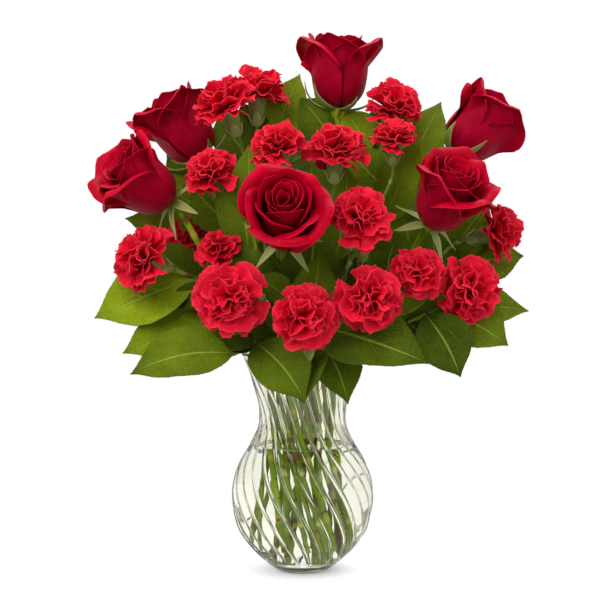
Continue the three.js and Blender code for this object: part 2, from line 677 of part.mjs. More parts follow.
// Half the leaf's width along its length, as a share of its widest: a broad oval with a drawn-out tip.
const LEAF_OUTLINE = [[0, 0], [0.17, 0.66], [0.4, 1], [0.68, 0.78], [1, 0]];
const LEAF_FOLD = 0.16; // how far the halves rise from the midrib, as a share of the width
const LEAF_ARCH = 0.1; // how far the midrib bows, as a share of the length

function leaf(root, { tip, wide, faces }) {
  const end = point(tip);
  const along = end.clone().sub(root);
  const length = along.length();
  along.normalize();
  const face = point(faces);
  face.addScaledVector(along, -face.dot(along)).normalize();
  const side = along.clone().cross(face).negate();
  const rows = LEAF_OUTLINE.map(([share, half]) => {
    const rib = root.clone().addScaledVector(along, length * share);
    rib.addScaledVector(face, LEAF_ARCH * length * 4 * share * (1 - share));
    const reach = (half * wide) / 2;
    const lift = face.clone().multiplyScalar(reach * LEAF_FOLD * 2);
    return [-1, 0, 1].map((s) => rib.clone().addScaledVector(side, s * reach).addScaledVector(lift, s * s));
  });
  return blade(rows, LEAF_THICKNESS);
}

function makeLeafyStem(row) {
  const { joints, solid } = vaseStem(row, row.through.map(point), LEAFY_STEM, 4);
  return fuse([solid, ...row.leaves.map((each) => leaf(alongStem(joints, Math.min(each.on, 0.99)), each))]);
}

// ---------------------------------------------------------------- the arrangement

const arrangement = new THREE.Group();

// A piece is a mesh of its own. A head is made upright, and its matrix stands the mesh on its stem.
function show(name, solid, finish, matrix = new THREE.Matrix4()) {
  const mesh = new THREE.Mesh(geometryOf(solid), finish);
  mesh.name = name;
  mesh.applyMatrix4(matrix);
  arrangement.add(mesh);
}

ROSES.forEach((row) => {
  show(`${row.name}_stem`, makeRoseStem(row), ROSE_GREEN);
  show(`${row.name}_petals`, makeRoseHead(row), ROSE_RED, rosePlace(row).matrix);
});

SPRAYS.forEach((row) => {
  show(`${row.name}_stem`, makeSpray(row), CARNATION_GREEN);
  row.flowers.forEach((flower) => {
    const head = makeCarnationHead({ ...flower, key: row.name + flower.name });
    show(`${row.name}_flower_${flower.name}`, head, CARNATION_RED, flowerPlace(flower).matrix);
  });
});

LEAFY.forEach((row) => show(row.name, makeLeafyStem(row), LEAF_GREEN));

show("vase", makeVase(), GLASS);
show("water", makeWater(holes), WATER);

export default arrangement;
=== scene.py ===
# %% [markdown]
# # Red roses and spray carnations in a swirl-ribbed glass vase
# The object is a florist's arrangement: six crimson roses, twenty small scarlet carnations on forking
# stems and broad salal leaves, standing in water in a clear vase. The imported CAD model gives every
# piece its place, and this lesson grows a finished piece over each CAD node.
# The first cell loads that model and keeps its box, because nothing made here may reach far outside it.

# %% The frame and the units
import json
import math
import random

import bpy
import numpy as np
from mathutils import Matrix, Vector

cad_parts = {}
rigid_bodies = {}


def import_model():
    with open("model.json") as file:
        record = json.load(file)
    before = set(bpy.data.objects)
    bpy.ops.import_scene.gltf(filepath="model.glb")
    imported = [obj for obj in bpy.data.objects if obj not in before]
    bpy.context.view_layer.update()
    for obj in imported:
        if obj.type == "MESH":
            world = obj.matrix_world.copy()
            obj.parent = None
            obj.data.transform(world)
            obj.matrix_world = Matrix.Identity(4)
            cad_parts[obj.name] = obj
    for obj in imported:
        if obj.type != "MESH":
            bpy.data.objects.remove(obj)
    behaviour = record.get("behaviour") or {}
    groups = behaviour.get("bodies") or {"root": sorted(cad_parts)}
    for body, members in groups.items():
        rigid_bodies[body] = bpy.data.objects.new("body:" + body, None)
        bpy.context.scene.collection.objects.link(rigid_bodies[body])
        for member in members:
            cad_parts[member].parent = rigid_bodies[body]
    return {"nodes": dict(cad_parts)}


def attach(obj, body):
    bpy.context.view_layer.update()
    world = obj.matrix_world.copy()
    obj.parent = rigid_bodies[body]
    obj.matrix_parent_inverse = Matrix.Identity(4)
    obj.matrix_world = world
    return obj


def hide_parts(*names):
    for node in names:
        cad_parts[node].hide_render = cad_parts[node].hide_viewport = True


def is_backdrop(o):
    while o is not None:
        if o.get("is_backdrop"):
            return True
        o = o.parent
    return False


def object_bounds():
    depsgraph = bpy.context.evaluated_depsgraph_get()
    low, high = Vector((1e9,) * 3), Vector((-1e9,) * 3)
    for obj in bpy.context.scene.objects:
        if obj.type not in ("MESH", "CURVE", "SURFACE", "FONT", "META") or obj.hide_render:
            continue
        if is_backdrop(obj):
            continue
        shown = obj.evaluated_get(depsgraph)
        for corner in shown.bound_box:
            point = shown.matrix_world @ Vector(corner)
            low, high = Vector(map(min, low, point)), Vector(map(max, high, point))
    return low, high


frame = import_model()
cad_box = [[float(x) for x in corner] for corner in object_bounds()]
MM = 0.001  # sizes are written in millimetres, and meshes are in metres
print("CAD nodes:", len(frame["nodes"]), "box:", cad_box)

# %% [markdown]
# ## Camera, light and floor
# A catalogue picture has a long lens a little above the table, a large soft light from above and the
# left, a weaker one from the right, and a white surround. Clear glass only shows by what it bends into
# view, so the surround is darker in four narrow directions: they draw the grey lines along the ribs.
# Only light that has passed through the glass meets those strips, and light that was mirrored meets a
# dimmer, even surround. The camera itself sees white. The large lamp leaves out the glass and the water,
# because its reflection would lie on the shoulder of the vase as a pale patch.

# %% Camera
def shown(name, data):
    """A new object, in the scene."""
    made = bpy.data.objects.new(name, data)
    bpy.context.scene.collection.objects.link(made)
    return made


def looking(place, target):
    """The turn of a camera or a lamp that looks from a place at a target."""
    return (Vector(target) - place).to_track_quat("-Z", "Y").to_euler()


camera_data = bpy.data.cameras.new("camera")
camera_data.lens = 165
camera_data.sensor_width = 36
camera = shown("camera", camera_data)
bpy.context.scene.camera = camera
target = Vector((-0.002, 0, 0.219))
elevation, distance = math.radians(6), 2.2
camera.location = target + Vector((0, -math.cos(elevation), math.sin(elevation))) * distance
camera.rotation_euler = looking(camera.location, target)
bpy.context.scene.view_settings.view_transform = "Standard"
print("camera at", [round(x, 3) for x in camera.location])

# %% Helpers for node trees
def add(tree, kind, inputs=None, **settings):
    """A node with its settings, and with numbers or links for its inputs."""
    made = tree.nodes.new(kind)
    for key, value in settings.items():
        setattr(made, key, value)
    for key, value in (inputs or {}).items():
        if isinstance(value, bpy.types.NodeSocket):
            tree.links.new(value, made.inputs[key])
        else:
            made.inputs[key].default_value = value
    return made


def maths(tree, operation, *values, clamp=False):
    """One step of arithmetic, for any kind of tree."""
    settings = {"operation": operation, "use_clamp": clamp}
    return add(tree, "ShaderNodeMath", dict(enumerate(values)), **settings).outputs[0]


def fade(tree, value, start, end, most=1, way="LINEAR"):
    """0 up to the start, rising to the most at the end, which may be the lower of the two."""
    inputs = dict(enumerate((value, start, end, 0, most)))
    return add(tree, "ShaderNodeMapRange", inputs, interpolation_type=way).outputs[0]


def mixed(tree, share, first, second):
    """One colour laid over another. The node's colour sockets are numbers 6 and 7."""
    return add(tree, "ShaderNodeMix", {0: share, 6: first, 7: second}, data_type="RGBA").outputs[2]


# %% Colours and finishes
def colour(red, green, blue):
    """A colour from 0 to 255 on the screen, as the amounts of light that a material needs."""
    steps = [v / 255 for v in (red, green, blue)]
    return (*[s / 12.92 if s < 0.04045 else ((s + 0.055) / 1.055) ** 2.4 for s in steps], 1)


def new_finish(name, **sockets):
    """A material with its plain numbers set on the shader, its tree and its shader."""
    finish = bpy.data.materials.new(name)
    finish.use_nodes = True
    tree = finish.node_tree
    shader = tree.nodes["Principled BSDF"]
    for key, value in sockets.items():
        shader.inputs[key.replace("_", " ")].default_value = value
    return finish, tree, shader


def show_both(tree, share, first, second):
    """Shows one shader, and by a share from 0 to 1 another in its place."""
    both = add(tree, "ShaderNodeMixShader", {0: share, 1: first.outputs[0], 2: second.outputs[0]})
    tree.links.new(both.outputs[0], tree.nodes["Material Output"].inputs["Surface"])


print("a grey of 128 on the screen is", round(colour(128, 128, 128)[0], 3), "of full light")

# %% Surround
WHITE = (1, 1, 1, 1)
SOFT_LIGHT = (0.48, 0.48, 0.5, 1)  # what lights matt surfaces from all round
GLOSS_LIGHT = (0.36, 0.36, 0.36, 1)  # what satin surfaces mirror
SHARP_LIGHT = (0.15, 0.15, 0.15, 1)  # what the outside of the glass mirrors
GLASS_LIGHT, GLASS_STRIP = (1.1, 1.1, 1.08, 1), (0.22, 0.22, 0.12, 1)  # what is seen through the glass
INSIDE_LIGHT = (0.6, 0.6, 0.54, 1)  # the same, after the glass has mirrored it inside
STRIPS, STRIP_STARTS, STRIP_FULL = 4, -0.78, -0.95  # number of strips, and their edges on a cosine wave
STRIP_FADES, STRIP_ENDS = 0.25, 0.6  # how steeply up the strips still reach


def surround():
    """White to the camera, and dimmer or striped to light that has met the object."""
    world = bpy.data.worlds.new("surround")
    bpy.context.scene.world = world
    world.use_nodes = True
    tree = world.node_tree
    tree.nodes.clear()
    way = add(tree, "ShaderNodeSeparateXYZ", {0: add(tree, "ShaderNodeTexCoord").outputs["Generated"]})
    angle = maths(tree, "ARCTAN2", way.outputs[1], way.outputs[0])
    wave = maths(tree, "COSINE", maths(tree, "MULTIPLY", angle, STRIPS))
    strip = fade(tree, wave, STRIP_STARTS, STRIP_FULL, way="SMOOTHSTEP")
    low = fade(tree, way.outputs[2], STRIP_ENDS, STRIP_FADES, way="SMOOTHSTEP")
    striped = mixed(tree, maths(tree, "MULTIPLY", strip, low), GLASS_LIGHT, GLASS_STRIP)
    rays = add(tree, "ShaderNodeLightPath").outputs
    striped = mixed(tree, maths(tree, "MINIMUM", rays["Glossy Depth"], 1), striped, INSIDE_LIGHT)
    light = mixed(tree, rays["Is Glossy Ray"], SOFT_LIGHT, GLOSS_LIGHT)
    light = mixed(tree, rays["Is Singular Ray"], light, SHARP_LIGHT)
    light = mixed(tree, rays["Is Transmission Ray"], light, striped)
    light = mixed(tree, rays["Is Camera Ray"], light, WHITE)
    back = add(tree, "ShaderNodeBackground", {"Color": light, "Strength": 1.0})
    add(tree, "ShaderNodeOutputWorld", {0: back.outputs[0]})


surround()
print("strips in the surround:", STRIPS)


# %% Lamps
def lamp(name, place, size, power):
    """A square soft box that faces the middle of the arrangement."""
    data = bpy.data.lights.new(name, "AREA")
    data.shape, data.size, data.energy = "SQUARE", size, power
    made = shown(name, data)
    made.location = place
    made.rotation_euler = looking(made.location, (0, 0, 0.25))
    return made


key = lamp("key", (-1.1, -1.4, 1.7), 2.2, 50)
not_glass = bpy.data.collections.new("not lit by the key lamp")
key.light_linking.receiver_collection = not_glass
lamp("fill", (1.6, -1.2, 0.8), 1.6, 11)
lamp("top", (0.2, 0.6, 2.0), 1.4, 18)
print("lamps:", len(bpy.data.lights))

# %% Floor
FLOOR_REACH, FLOOR_DEPTH = 6, 0.0002  # metres to each side, and below the foot of the vase
SHADOW_FULL, SHADOW_ENDS = 0.02, 0.044  # metres from the middle of the vase, where its shadow fades out
PAPER, PAPER_GLOW = (0.86, 0.87, 0.94, 1), (0.55, 0.55, 0.55, 1)


def table_finish():
    """White paper: it takes the contact shadow near the vase, and glows as the surround does further out."""
    finish, tree, paper = new_finish("white table", Roughness=0.7, Specular_IOR_Level=0.1, Base_Color=PAPER)
    spot = add(tree, "ShaderNodeTexCoord").outputs["Object"]
    off = add(tree, "ShaderNodeVectorMath", {0: spot}, operation="LENGTH").outputs["Value"]
    rays = add(tree, "ShaderNodeLightPath").outputs
    far = maths(tree, "MAXIMUM", fade(tree, off, SHADOW_FULL, SHADOW_ENDS), rays["Is Transmission Ray"])
    dim = maths(tree, "MAXIMUM", rays["Is Diffuse Ray"], rays["Is Glossy Ray"])
    dim = maths(tree, "SUBTRACT", dim, rays["Is Transmission Ray"], clamp=True)
    glow = mixed(tree, dim, WHITE, PAPER_GLOW)
    show_both(tree, far, paper, add(tree, "ShaderNodeEmission", {"Color": glow, "Strength": 1.0}))
    return finish


floor_mesh = bpy.data.meshes.new("floor")
corners = [(x * FLOOR_REACH, y * FLOOR_REACH, -FLOOR_DEPTH) for x, y in ((-1, -1), (1, -1), (1, 1), (-1, 1))]
floor_mesh.from_pydata(corners, [], [(0, 1, 2, 3)])
floor_mesh.materials.append(table_finish())
floor = shown("floor", floor_mesh)
floor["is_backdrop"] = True
print("floor:", 2 * FLOOR_REACH, "m wide")

# %% [markdown]
# ## Where the flowers stand
# The rows repeat the CAD source: the middle of each head, the way it faces, how far it has opened, and
# the ring and slot where its stem passes the neck of the vase. Placing every piece from one table keeps
# the grown pieces on their CAD nodes. Smaller leaves then fill the places between the flowers, each on a
# twig of its salal stem, because a real bouquet has no holes to look through.

# %% Roses
ROSES = [
    # name, middle of the head, faces, opened, ring, slot in degrees
    ("rose_top", (30, 25, 400), (0.03, 0.1, 1), 0.35, "inner", 50),
    ("rose_upper_left", (-102, 25, 362), (-0.57, 0.12, 0.8), 0.3, "inner", 168),
    ("rose_left", (-132, -45, 321), (-0.7, -0.3, 0.5), 0.7, "outer", 174),
    ("rose_front", (-14, -110, 296), (0.02, -0.85, 0.5), 1.0, "outer", 258),
    ("rose_right", (116, -60, 312), (0.42, -0.5, 0.72), 0.7, "outer", 338),
    ("rose_upper_right", (145, 25, 358), (0.62, 0.2, 0.72), 0.3, "inner", 10),
]
print(len(ROSES), "roses")

# %% Carnation sprays
SPRAYS = [
    # name, ring, slot, fork, flowers (name, middle, faces, size), buds (middle, faces)
    ("spray_top_left", "inner", 200, (-34, -12, 285), [
        ("a", (-63, -25, 383), (-0.35, -0.1, 0.93), 1.0),
        ("b", (-36, 20, 391), (0.02, 0.1, 1), 0.98),
        ("c", (-73, -60, 329), (-0.25, -0.45, 0.85), 0.86)], []),
    ("spray_centre", "inner", 268, (2, -32, 270), [
        ("a", (-19, -60, 350), (-0.12, -0.3, 0.95), 0.88),
        ("b", (27, -55, 348), (0.08, -0.25, 0.96), 0.98)], []),
    ("spray_top_right", "inner", 305, (42, -28, 262), [
        ("a", (74, 0, 379), (0.25, -0.3, 0.9), 0.94),
        ("b", (71, -45, 355), (0.02, -0.3, 0.95), 0.68),
        ("c", (45, -95, 298), (0.25, -0.65, 0.7), 1.02)],
        [((47, -72, 268), (0.05, -0.15, 1))]),
    ("spray_left", "outer", 195, (-55, -30, 225), [
        ("a", (-129, -78, 262), (-0.75, -0.5, 0.35), 1.02),
        ("b", (-90, 6, 274), (-0.5, -0.3, 0.8), 0.92),
        ("c", (-66, -60, 268), (-0.2, -0.6, 0.8), 0.66)], []),
    ("spray_low_left", "outer", 237, (-28, -58, 205), [
        ("a", (-57, -108, 234), (-0.2, -0.93, 0.25), 1.06),
        ("b", (0, -126, 220), (0.02, -0.97, 0.15), 0.98)],
        [((-32, -96, 229), (0.45, -0.5, 0.7)), ((5, -108, 190), (0.1, -0.5, -0.85))]),
    ("spray_low_right", "outer", 300, (38, -56, 208), [
        ("a", (55, -112, 231), (0.35, -0.9, 0.05), 1.06),
        ("b", (90, -86, 252), (0.15, -0.8, 0.5), 0.78)], []),
    ("spray_right", "outer", 352, (72, -26, 222), [
        ("a", (134, -72, 235), (0.6, -0.75, 0.1), 1.04),
        ("b", (160, -20, 277), (0.85, -0.2, 0.25), 0.9)], []),
    ("spray_back", "outer", 82, (8, 48, 235), [
        ("a", (-62, 96, 300), (-0.45, 0.75, 0.5), 1.0),
        ("b", (22, 112, 318), (0.1, 0.85, 0.5), 1.0),
        ("c", (92, 84, 278), (0.6, 0.65, 0.35), 0.95)], []),
]
print(sum(len(row[4]) for row in SPRAYS), "carnations on", len(SPRAYS), "sprays")

# %% Salal stems
LEAFY = [
    # name, ring, slot, points above the vase, leaves (place on the stem, tip, width, faces, brightness: own
    # green and painted shade)
    ("salal_low_left", "outer", 216, [(-44, -42, 196), (-62, -50, 214)], [
        (1, (-162, -60, 211), 46, (0.1, -0.8, 0.6), 1.0), (0.9, (-139, -80, 186), 40, (0, -0.8, 0.6), 0.75),
        (0.8, (-132, -98, 172), 40, (0.1, -0.75, 0.65), 0.38)]),
    ("salal_low_front", "outer", 279, [(6, -50, 196), (10, -66, 206)], [
        (0.86, (1, -104, 150), 48, (-0.3, -0.85, 0.4), 0.35),
        (0.93, (35, -92, 148), 38, (0.3, -0.9, 0.35), 0.2),
        (1, (96, -112, 182), 52, (0, -0.75, 0.65), 0.15), (0.9, (14, -64, 264), 34, (0, -0.95, 0.3), 0.3)]),
    ("salal_low_right", "outer", 320, [(62, -44, 200), (88, -42, 209)], [
        (0.85, (122, -84, 168), 38, (-0.1, -0.9, 0.4), 0.0),
        (0.93, (160, -64, 190), 42, (0, -0.75, 0.65), 0.4),
        (1, (178, -36, 214), 40, (0, -0.8, 0.6), 0.65), (0.96, (86, -46, 262), 34, (0, -0.95, 0.3), 0.2)]),
    ("salal_left", "outer", 150, [(-52, 34, 215), (-92, 50, 248)], [
        (1, (-142, 8, 284), 40, (-0.1, -0.8, 0.6), 0.7), (0.88, (-150, 42, 232), 42, (-0.3, -0.2, 0.9), 0.6),
        (0.94, (-116, 84, 286), 40, (-0.3, 0.7, 0.6), 0.5)]),
    ("salal_front_left", "inner", 234, [(-30, -50, 235), (-40, -62, 290)], [
        (0.97, (-42, -62, 346), 26, (-0.3, -0.9, 0.3), 0.3),
        (0.82, (-64, -74, 238), 32, (-0.2, -0.85, 0.5), 0.35)]),
    ("salal_top_left", "inner", 128, [(-28, 18, 280), (-20, 28, 330)], [
        (1, (-2, 52, 398), 32, (-0.1, -0.95, 0.2), 0.9), (0.92, (-64, 54, 354), 36, (-0.3, -0.5, 0.8), 0.2),
        (0.8, (-46, 74, 340), 40, (-0.3, 0.8, 0.5), 0.4), (0.85, (12, 76, 366), 38, (0.1, 0.9, 0.4), 0.3)]),
    ("salal_top_right", "inner", 340, [(52, 8, 262), (80, 6, 302)], [
        (1, (112, 36, 376), 34, (-0.1, -0.9, 0.4), 0.5), (0.92, (94, -34, 352), 30, (-0.1, -0.9, 0.4), 0.8),
        (0.9, (104, 66, 330), 38, (0.4, 0.8, 0.5), 0.4)]),
    ("salal_right", "outer", 14, [(70, 10, 215), (118, 0, 240)], [
        (1, (177, 4, 254), 40, (0, -0.8, 0.6), 0.75), (0.9, (118, 14, 286), 34, (0, -0.95, 0.3), 0.3),
        (0.85, (140, 52, 276), 40, (0.3, 0.3, 0.9), 0.4), (0.8, (150, 52, 210), 42, (0.4, 0.4, 0.8), 0.6)]),
    ("salal_back_right", "outer", 48, [(44, 42, 205), (58, 70, 240)], [
        (1, (78, 134, 244), 42, (0.3, 0.6, 0.8), 0.7), (0.82, (112, 96, 198), 44, (0.4, 0.5, 0.75), 0.5),
        (0.75, (30, 110, 178), 44, (0.1, 0.7, 0.7), 0.6), (0.9, (10, 120, 250), 40, (0, 0.8, 0.6), 0.4)]),
    ("salal_back_left", "outer", 116, [(-40, 42, 205), (-56, 66, 235)], [
        (1, (-96, 122, 238), 42, (-0.3, 0.7, 0.7), 0.6), (0.85, (-122, 80, 196), 44, (-0.4, 0.4, 0.8), 0.45),
        (0.75, (-36, 108, 172), 42, (-0.1, 0.7, 0.7), 0.7)]),
]
print(sum(len(row[4]) for row in LEAFY), "leaves on", len(LEAFY), "salal stems")

# %% Leaves that hang from a twig
TWIG_ENDS = {
    # salal stem and number of the leaf: where the twig ends
    ("salal_low_left", 0): (-83, -50, 241), ("salal_low_left", 1): (-70, -56, 208),
    ("salal_low_left", 2): (-52, -86, 186), ("salal_low_right", 0): (95, -66, 215),
    ("salal_low_right", 1): (106, -56, 219),
}
print(len(TWIG_ENDS), "leaves hang from a twig")

# %% Leaves between the upper flowers
INNER_LEAVES = {
    # salal stem: root on its twig, tip, width, faces, brightness from dark to bright, partly painted shade
    "salal_top_left": [
        ((25, 28, 344), (-2, 34, 379), 34, (-0.1, -0.9, 0.35), 0.25),
        ((-53, -18, 278), (-88, -26, 312), 34, (-0.2, -0.9, 0.3), 0.35),
        ((-68, 4, 262), (-101, 8, 295), 28, (-0.2, -0.8, 0.5), 0.75),
        ((-51, 22, 254), (-80, 26, 296), 38, (-0.1, -0.9, 0.3), 0.15),
        ((-56, 16, 290), (-86, 20, 320), 36, (-0.1, -0.9, 0.3), 0.3),
        ((-70, 20, 280), (-104, 14, 306), 34, (-0.1, -0.9, 0.3), 0.55),
        ((-33, 10, 298), (-26, 18, 346), 40, (0, -0.95, 0.2), 0.3),
        ((-2, 20, 272), (8, 30, 329), 42, (0, -0.95, 0.2), 0.15),
        ((-34, 6, 226), (-49, 10, 274), 42, (-0.1, -0.95, 0.2), 0.1),
        ((-74, 34, 300), (-110, 38, 334), 42, (-0.2, -0.85, 0.4), 0.6),
        ((-44, 24, 330), (-68, 34, 366), 34, (-0.3, -0.85, 0.4), 0.2),
        ((-34, 30, 336), (-49, 34, 376), 28, (-0.1, -0.9, 0.3), 0.1)],
    "salal_top_right": [
        ((55, 12, 338), (33, 22, 369), 32, (0.1, -0.85, 0.5), 0.95),
        ((62, 22, 340), (76, 26, 374), 36, (0, -0.9, 0.3), 0.4),
        ((46, 20, 316), (60, 24, 353), 32, (0, -0.9, 0.3), 0.4),
        ((69, -5, 306), (38, 2, 339), 38, (-0.1, -0.9, 0.3), 0.45),
        ((25, -30, 251), (35, -20, 328), 38, (0.1, -0.95, 0.1), 0.35),
        ((12, -12, 220), (-2, -14, 264), 38, (0.1, -0.95, 0.2), 0.2),
        ((51, 10, 249), (56, 16, 293), 40, (0, -0.95, 0.2), 0.2),
        ((30, 0, 219), (39, 6, 267), 42, (0, -0.95, 0.2), 0.1),
        ((2, -34, 222), (10, -40, 278), 46, (0, -0.95, 0.2), 0.08)],
}
print(sum(len(rows) for rows in INNER_LEAVES.values()), "leaves between the upper flowers")

# %% Leaves between the lower flowers
INNER_LEAVES |= {
    "salal_right": [
        ((118, 6, 249), (149, 4, 296), 38, (-0.1, -0.9, 0.3), 0.6),
        ((135, 22, 251), (157, 26, 280), 30, (0.2, -0.9, 0.2), 0.2),
        ((124, 10, 258), (150, 14, 294), 32, (0, -0.9, 0.3), 0.25),
        ((74, -20, 235), (66, -14, 279), 34, (0, -0.95, 0.1), 0.1),
        ((87, 4, 244), (78, 8, 295), 38, (0, -0.9, 0.3), 0.45),
        ((109, -8, 236), (103, 0, 275), 34, (0.1, -0.9, 0.2), 0.15),
        ((58, -14, 204), (88, -44, 224), 40, (0.8, -0.2, 0.4), 0.3),
        ((56, 16, 204), (96, 34, 222), 42, (0.8, 0.3, 0.5), 0.4),
        ((62, 2, 214), (100, -12, 236), 38, (0.8, 0, 0.5), 0.6)],
    "salal_low_front": [
        ((12, -48, 210), (18, -52, 256), 36, (0.1, -0.9, 0.3), 0.3),
        ((-15, -70, 200), (-31, -86, 219), 16, (0, -0.8, 0.5), 0.2),
        ((-10, -54, 182), (-31, -62, 226), 40, (0, -0.85, 0.4), 0.05),
        ((21, -56, 184), (38, -70, 217), 34, (0.1, -0.85, 0.4), 0.25)],
    "salal_low_right": [
        ((67, -28, 228), (73, -32, 270), 34, (-0.2, -0.9, 0.2), 0.1),
        ((77, -66, 215), (105, -72, 239), 18, (0, -0.7, 0.7), 1.0),
        ((91, -30, 198), (126, -30, 217), 34, (0, -0.8, 0.5), 0.15),
        ((74, -34, 212), (102, -50, 188), 30, (0, -0.85, 0.5), 0.1)],
    "salal_low_left": [
        ((-66, -52, 231), (-106, -66, 219), 22, (0, -0.8, 0.5), 0.0),
        ((-37, -72, 193), (2, -106, 152), 46, (0.05, -0.85, 0.45), 0.22),
        ((-30, -52, 198), (-76, -78, 192), 34, (0, -0.8, 0.6), 0.02),
        ((-52, -44, 214), (-98, -52, 212), 36, (0, -0.8, 0.6), 0.1),
        ((-32, -60, 194), (-77, -66, 190), 26, (0, -0.8, 0.6), 0.15),
        ((-59, -20, 205), (-85, -14, 240), 36, (-0.1, -0.9, 0.3), 0.1),
        ((-84, -18, 236), (-119, -22, 264), 34, (-0.1, -0.9, 0.3), 0.3),
        ((-50, -16, 204), (-82, -40, 220), 40, (-0.8, -0.2, 0.4), 0.3),
        ((-48, 14, 204), (-88, 28, 222), 42, (-0.8, 0.3, 0.5), 0.5),
        ((-54, 0, 216), (-92, -6, 240), 38, (-0.8, 0, 0.5), 0.6)],
    "salal_front_left": [
        ((-30, -48, 221), (-62, -50, 271), 46, (-0.2, -0.9, 0.3), 0.12),
        ((-10, -62, 222), (-38, -80, 245), 24, (-0.1, -0.8, 0.5), 0.3),
        ((-2, -30, 219), (-24, -44, 258), 38, (-0.1, -0.95, 0.2), 0.15),
        ((-42, -52, 262), (-46, -56, 338), 44, (-0.3, -0.9, 0.3), 0.4)],
}
print(sum(len(rows) for rows in INNER_LEAVES.values()), "with the lower ones")

# %% Leaves between the flowers at the back
INNER_LEAVES |= {
    "salal_back_right": [
        ((46, 62, 236), (64, 92, 286), 40, (0.2, 0.9, 0.3), 0.3),
        ((30, 60, 250), (22, 84, 300), 40, (0, 0.95, 0.2), 0.2),
        ((72, 66, 232), (112, 92, 250), 38, (0.3, 0.8, 0.5), 0.6),
        ((40, 66, 214), (52, 112, 206), 40, (0.2, 0.6, 0.8), 0.7)],
    "salal_back_left": [
        ((-46, 62, 240), (-70, 88, 268), 40, (-0.2, 0.9, 0.3), 0.25),
        ((-20, 58, 244), (-34, 86, 292), 42, (0, 0.95, 0.2), 0.15),
        ((-66, 60, 226), (-112, 76, 258), 38, (-0.3, 0.8, 0.5), 0.55),
        ((-30, 62, 212), (-64, 110, 204), 42, (-0.1, 0.6, 0.8), 0.75)],
}
print(sum(len(rows) for rows in INNER_LEAVES.values()), "leaves between the flowers in all")

# %% [markdown]
# ## Paths and places
# Stems are smooth curves through a few points. The centripetal curve used here never loops or
# overshoots between them, so it is the usual choice for something that grows. A second helper stands a
# piece, made upright at the origin, at its place and facing.

# %% Curves
def smooth(points, steps=22):
    """Points along a smooth curve through the given ones."""
    p = [np.array(q, float) for q in points]
    p = [2 * p[0] - p[1], *p, 2 * p[-1] - p[-2]]
    found = []
    for a, b, c, d in zip(p, p[1:], p[2:], p[3:]):
        gap = [max(np.linalg.norm(y - x) ** 0.5, 1e-4) for x, y in ((a, b), (b, c), (c, d))]
        leave = ((b - a) / gap[0] - (c - a) / (gap[0] + gap[1]) + (c - b) / gap[1]) * gap[1]
        reach = ((c - b) / gap[1] - (d - b) / (gap[1] + gap[2]) + (d - c) / gap[2]) * gap[1]
        for t in np.linspace(0, 1, steps, endpoint=False):
            square = -3 * b + 3 * c - 2 * leave - reach
            cube = 2 * b - 2 * c + leave + reach
            found.append(b + t * leave + t * t * square + t**3 * cube)
    return np.array([*found, p[-2]])


def spaced(path, count):
    """Evenly spaced points along a path."""
    run = np.concatenate([[0], np.cumsum(np.linalg.norm(np.diff(path, axis=0), axis=1))])
    at = np.linspace(0, run[-1], count)
    return np.stack([np.interp(at, run, path[:, k]) for k in range(3)], axis=1)


print("points on a curve through three places:", len(smooth([(0, 0, 0), (10, 0, 20), (0, 0, 40)])))

# %% Placing
ROUND = 6.28  # about one full turn, for the phases of waves and for marks that go round a stem
GOLDEN_ANGLE = math.radians(137.5)  # from each petal to the next


def unit(vector):
    """The same direction, one long."""
    return np.array(vector, float) / np.linalg.norm(vector)


def standing(at, facing):
    """The matrix that stands an upright piece at a place, facing a direction."""
    turn = Vector((0, 0, 1)).rotation_difference(Vector(facing))
    return np.array(Matrix.Translation(Vector(at)) @ turn.to_matrix().to_4x4())


def placed(points, matrix):
    """Points moved by a matrix."""
    return points @ matrix[:3, :3].T + matrix[:3, 3]


def around(radius, angle, z):
    """The place at a radius and an angle from the upright axis."""
    return np.array([radius * math.cos(angle), radius * math.sin(angle), z])


def all_round(count):
    """Even angles for a full turn."""
    return np.linspace(0, 2 * math.pi, count, endpoint=False)


def seeded(name, more=0):
    """The CAD source's own numbers from 0 to 1, so that sepals stand where it has them."""
    state = 7
    for letter in name:
        state = (state * 31 + ord(letter)) % 65521
    state += more
    while True:
        state = (state * 1664525 + 1013904223) % 4294967296
        yield state / 4294967296


laid = placed(np.array([[0.0, 0, 1]]), standing((0, 0, 0), (1, 0, 0)))
print("a point straight above, stood to face along x:", laid.round(3).tolist())

# %% [markdown]
# ## Parts and pieces
# A part is a list of points in millimetres, its faces, its finish, and a few marks: numbers kept on the
# points that tell the finish where it is, such as how far along a leaf. Petals and leaves are thin, but
# a sheet with no thickness looks like paper and leaks light, so `sheet` closes each one into a shell.
# `piece` joins the parts of one CAD node into one mesh, in place, with its object at the origin.

# %% Sheets
def grid_faces(rows, columns):
    """Faces over a grid of points."""
    ids = np.arange(rows * columns).reshape(rows, columns)
    corners = (ids[:-1, :-1], ids[:-1, 1:], ids[1:, 1:], ids[1:, :-1])
    return np.stack(corners, axis=-1).reshape(-1, 4)


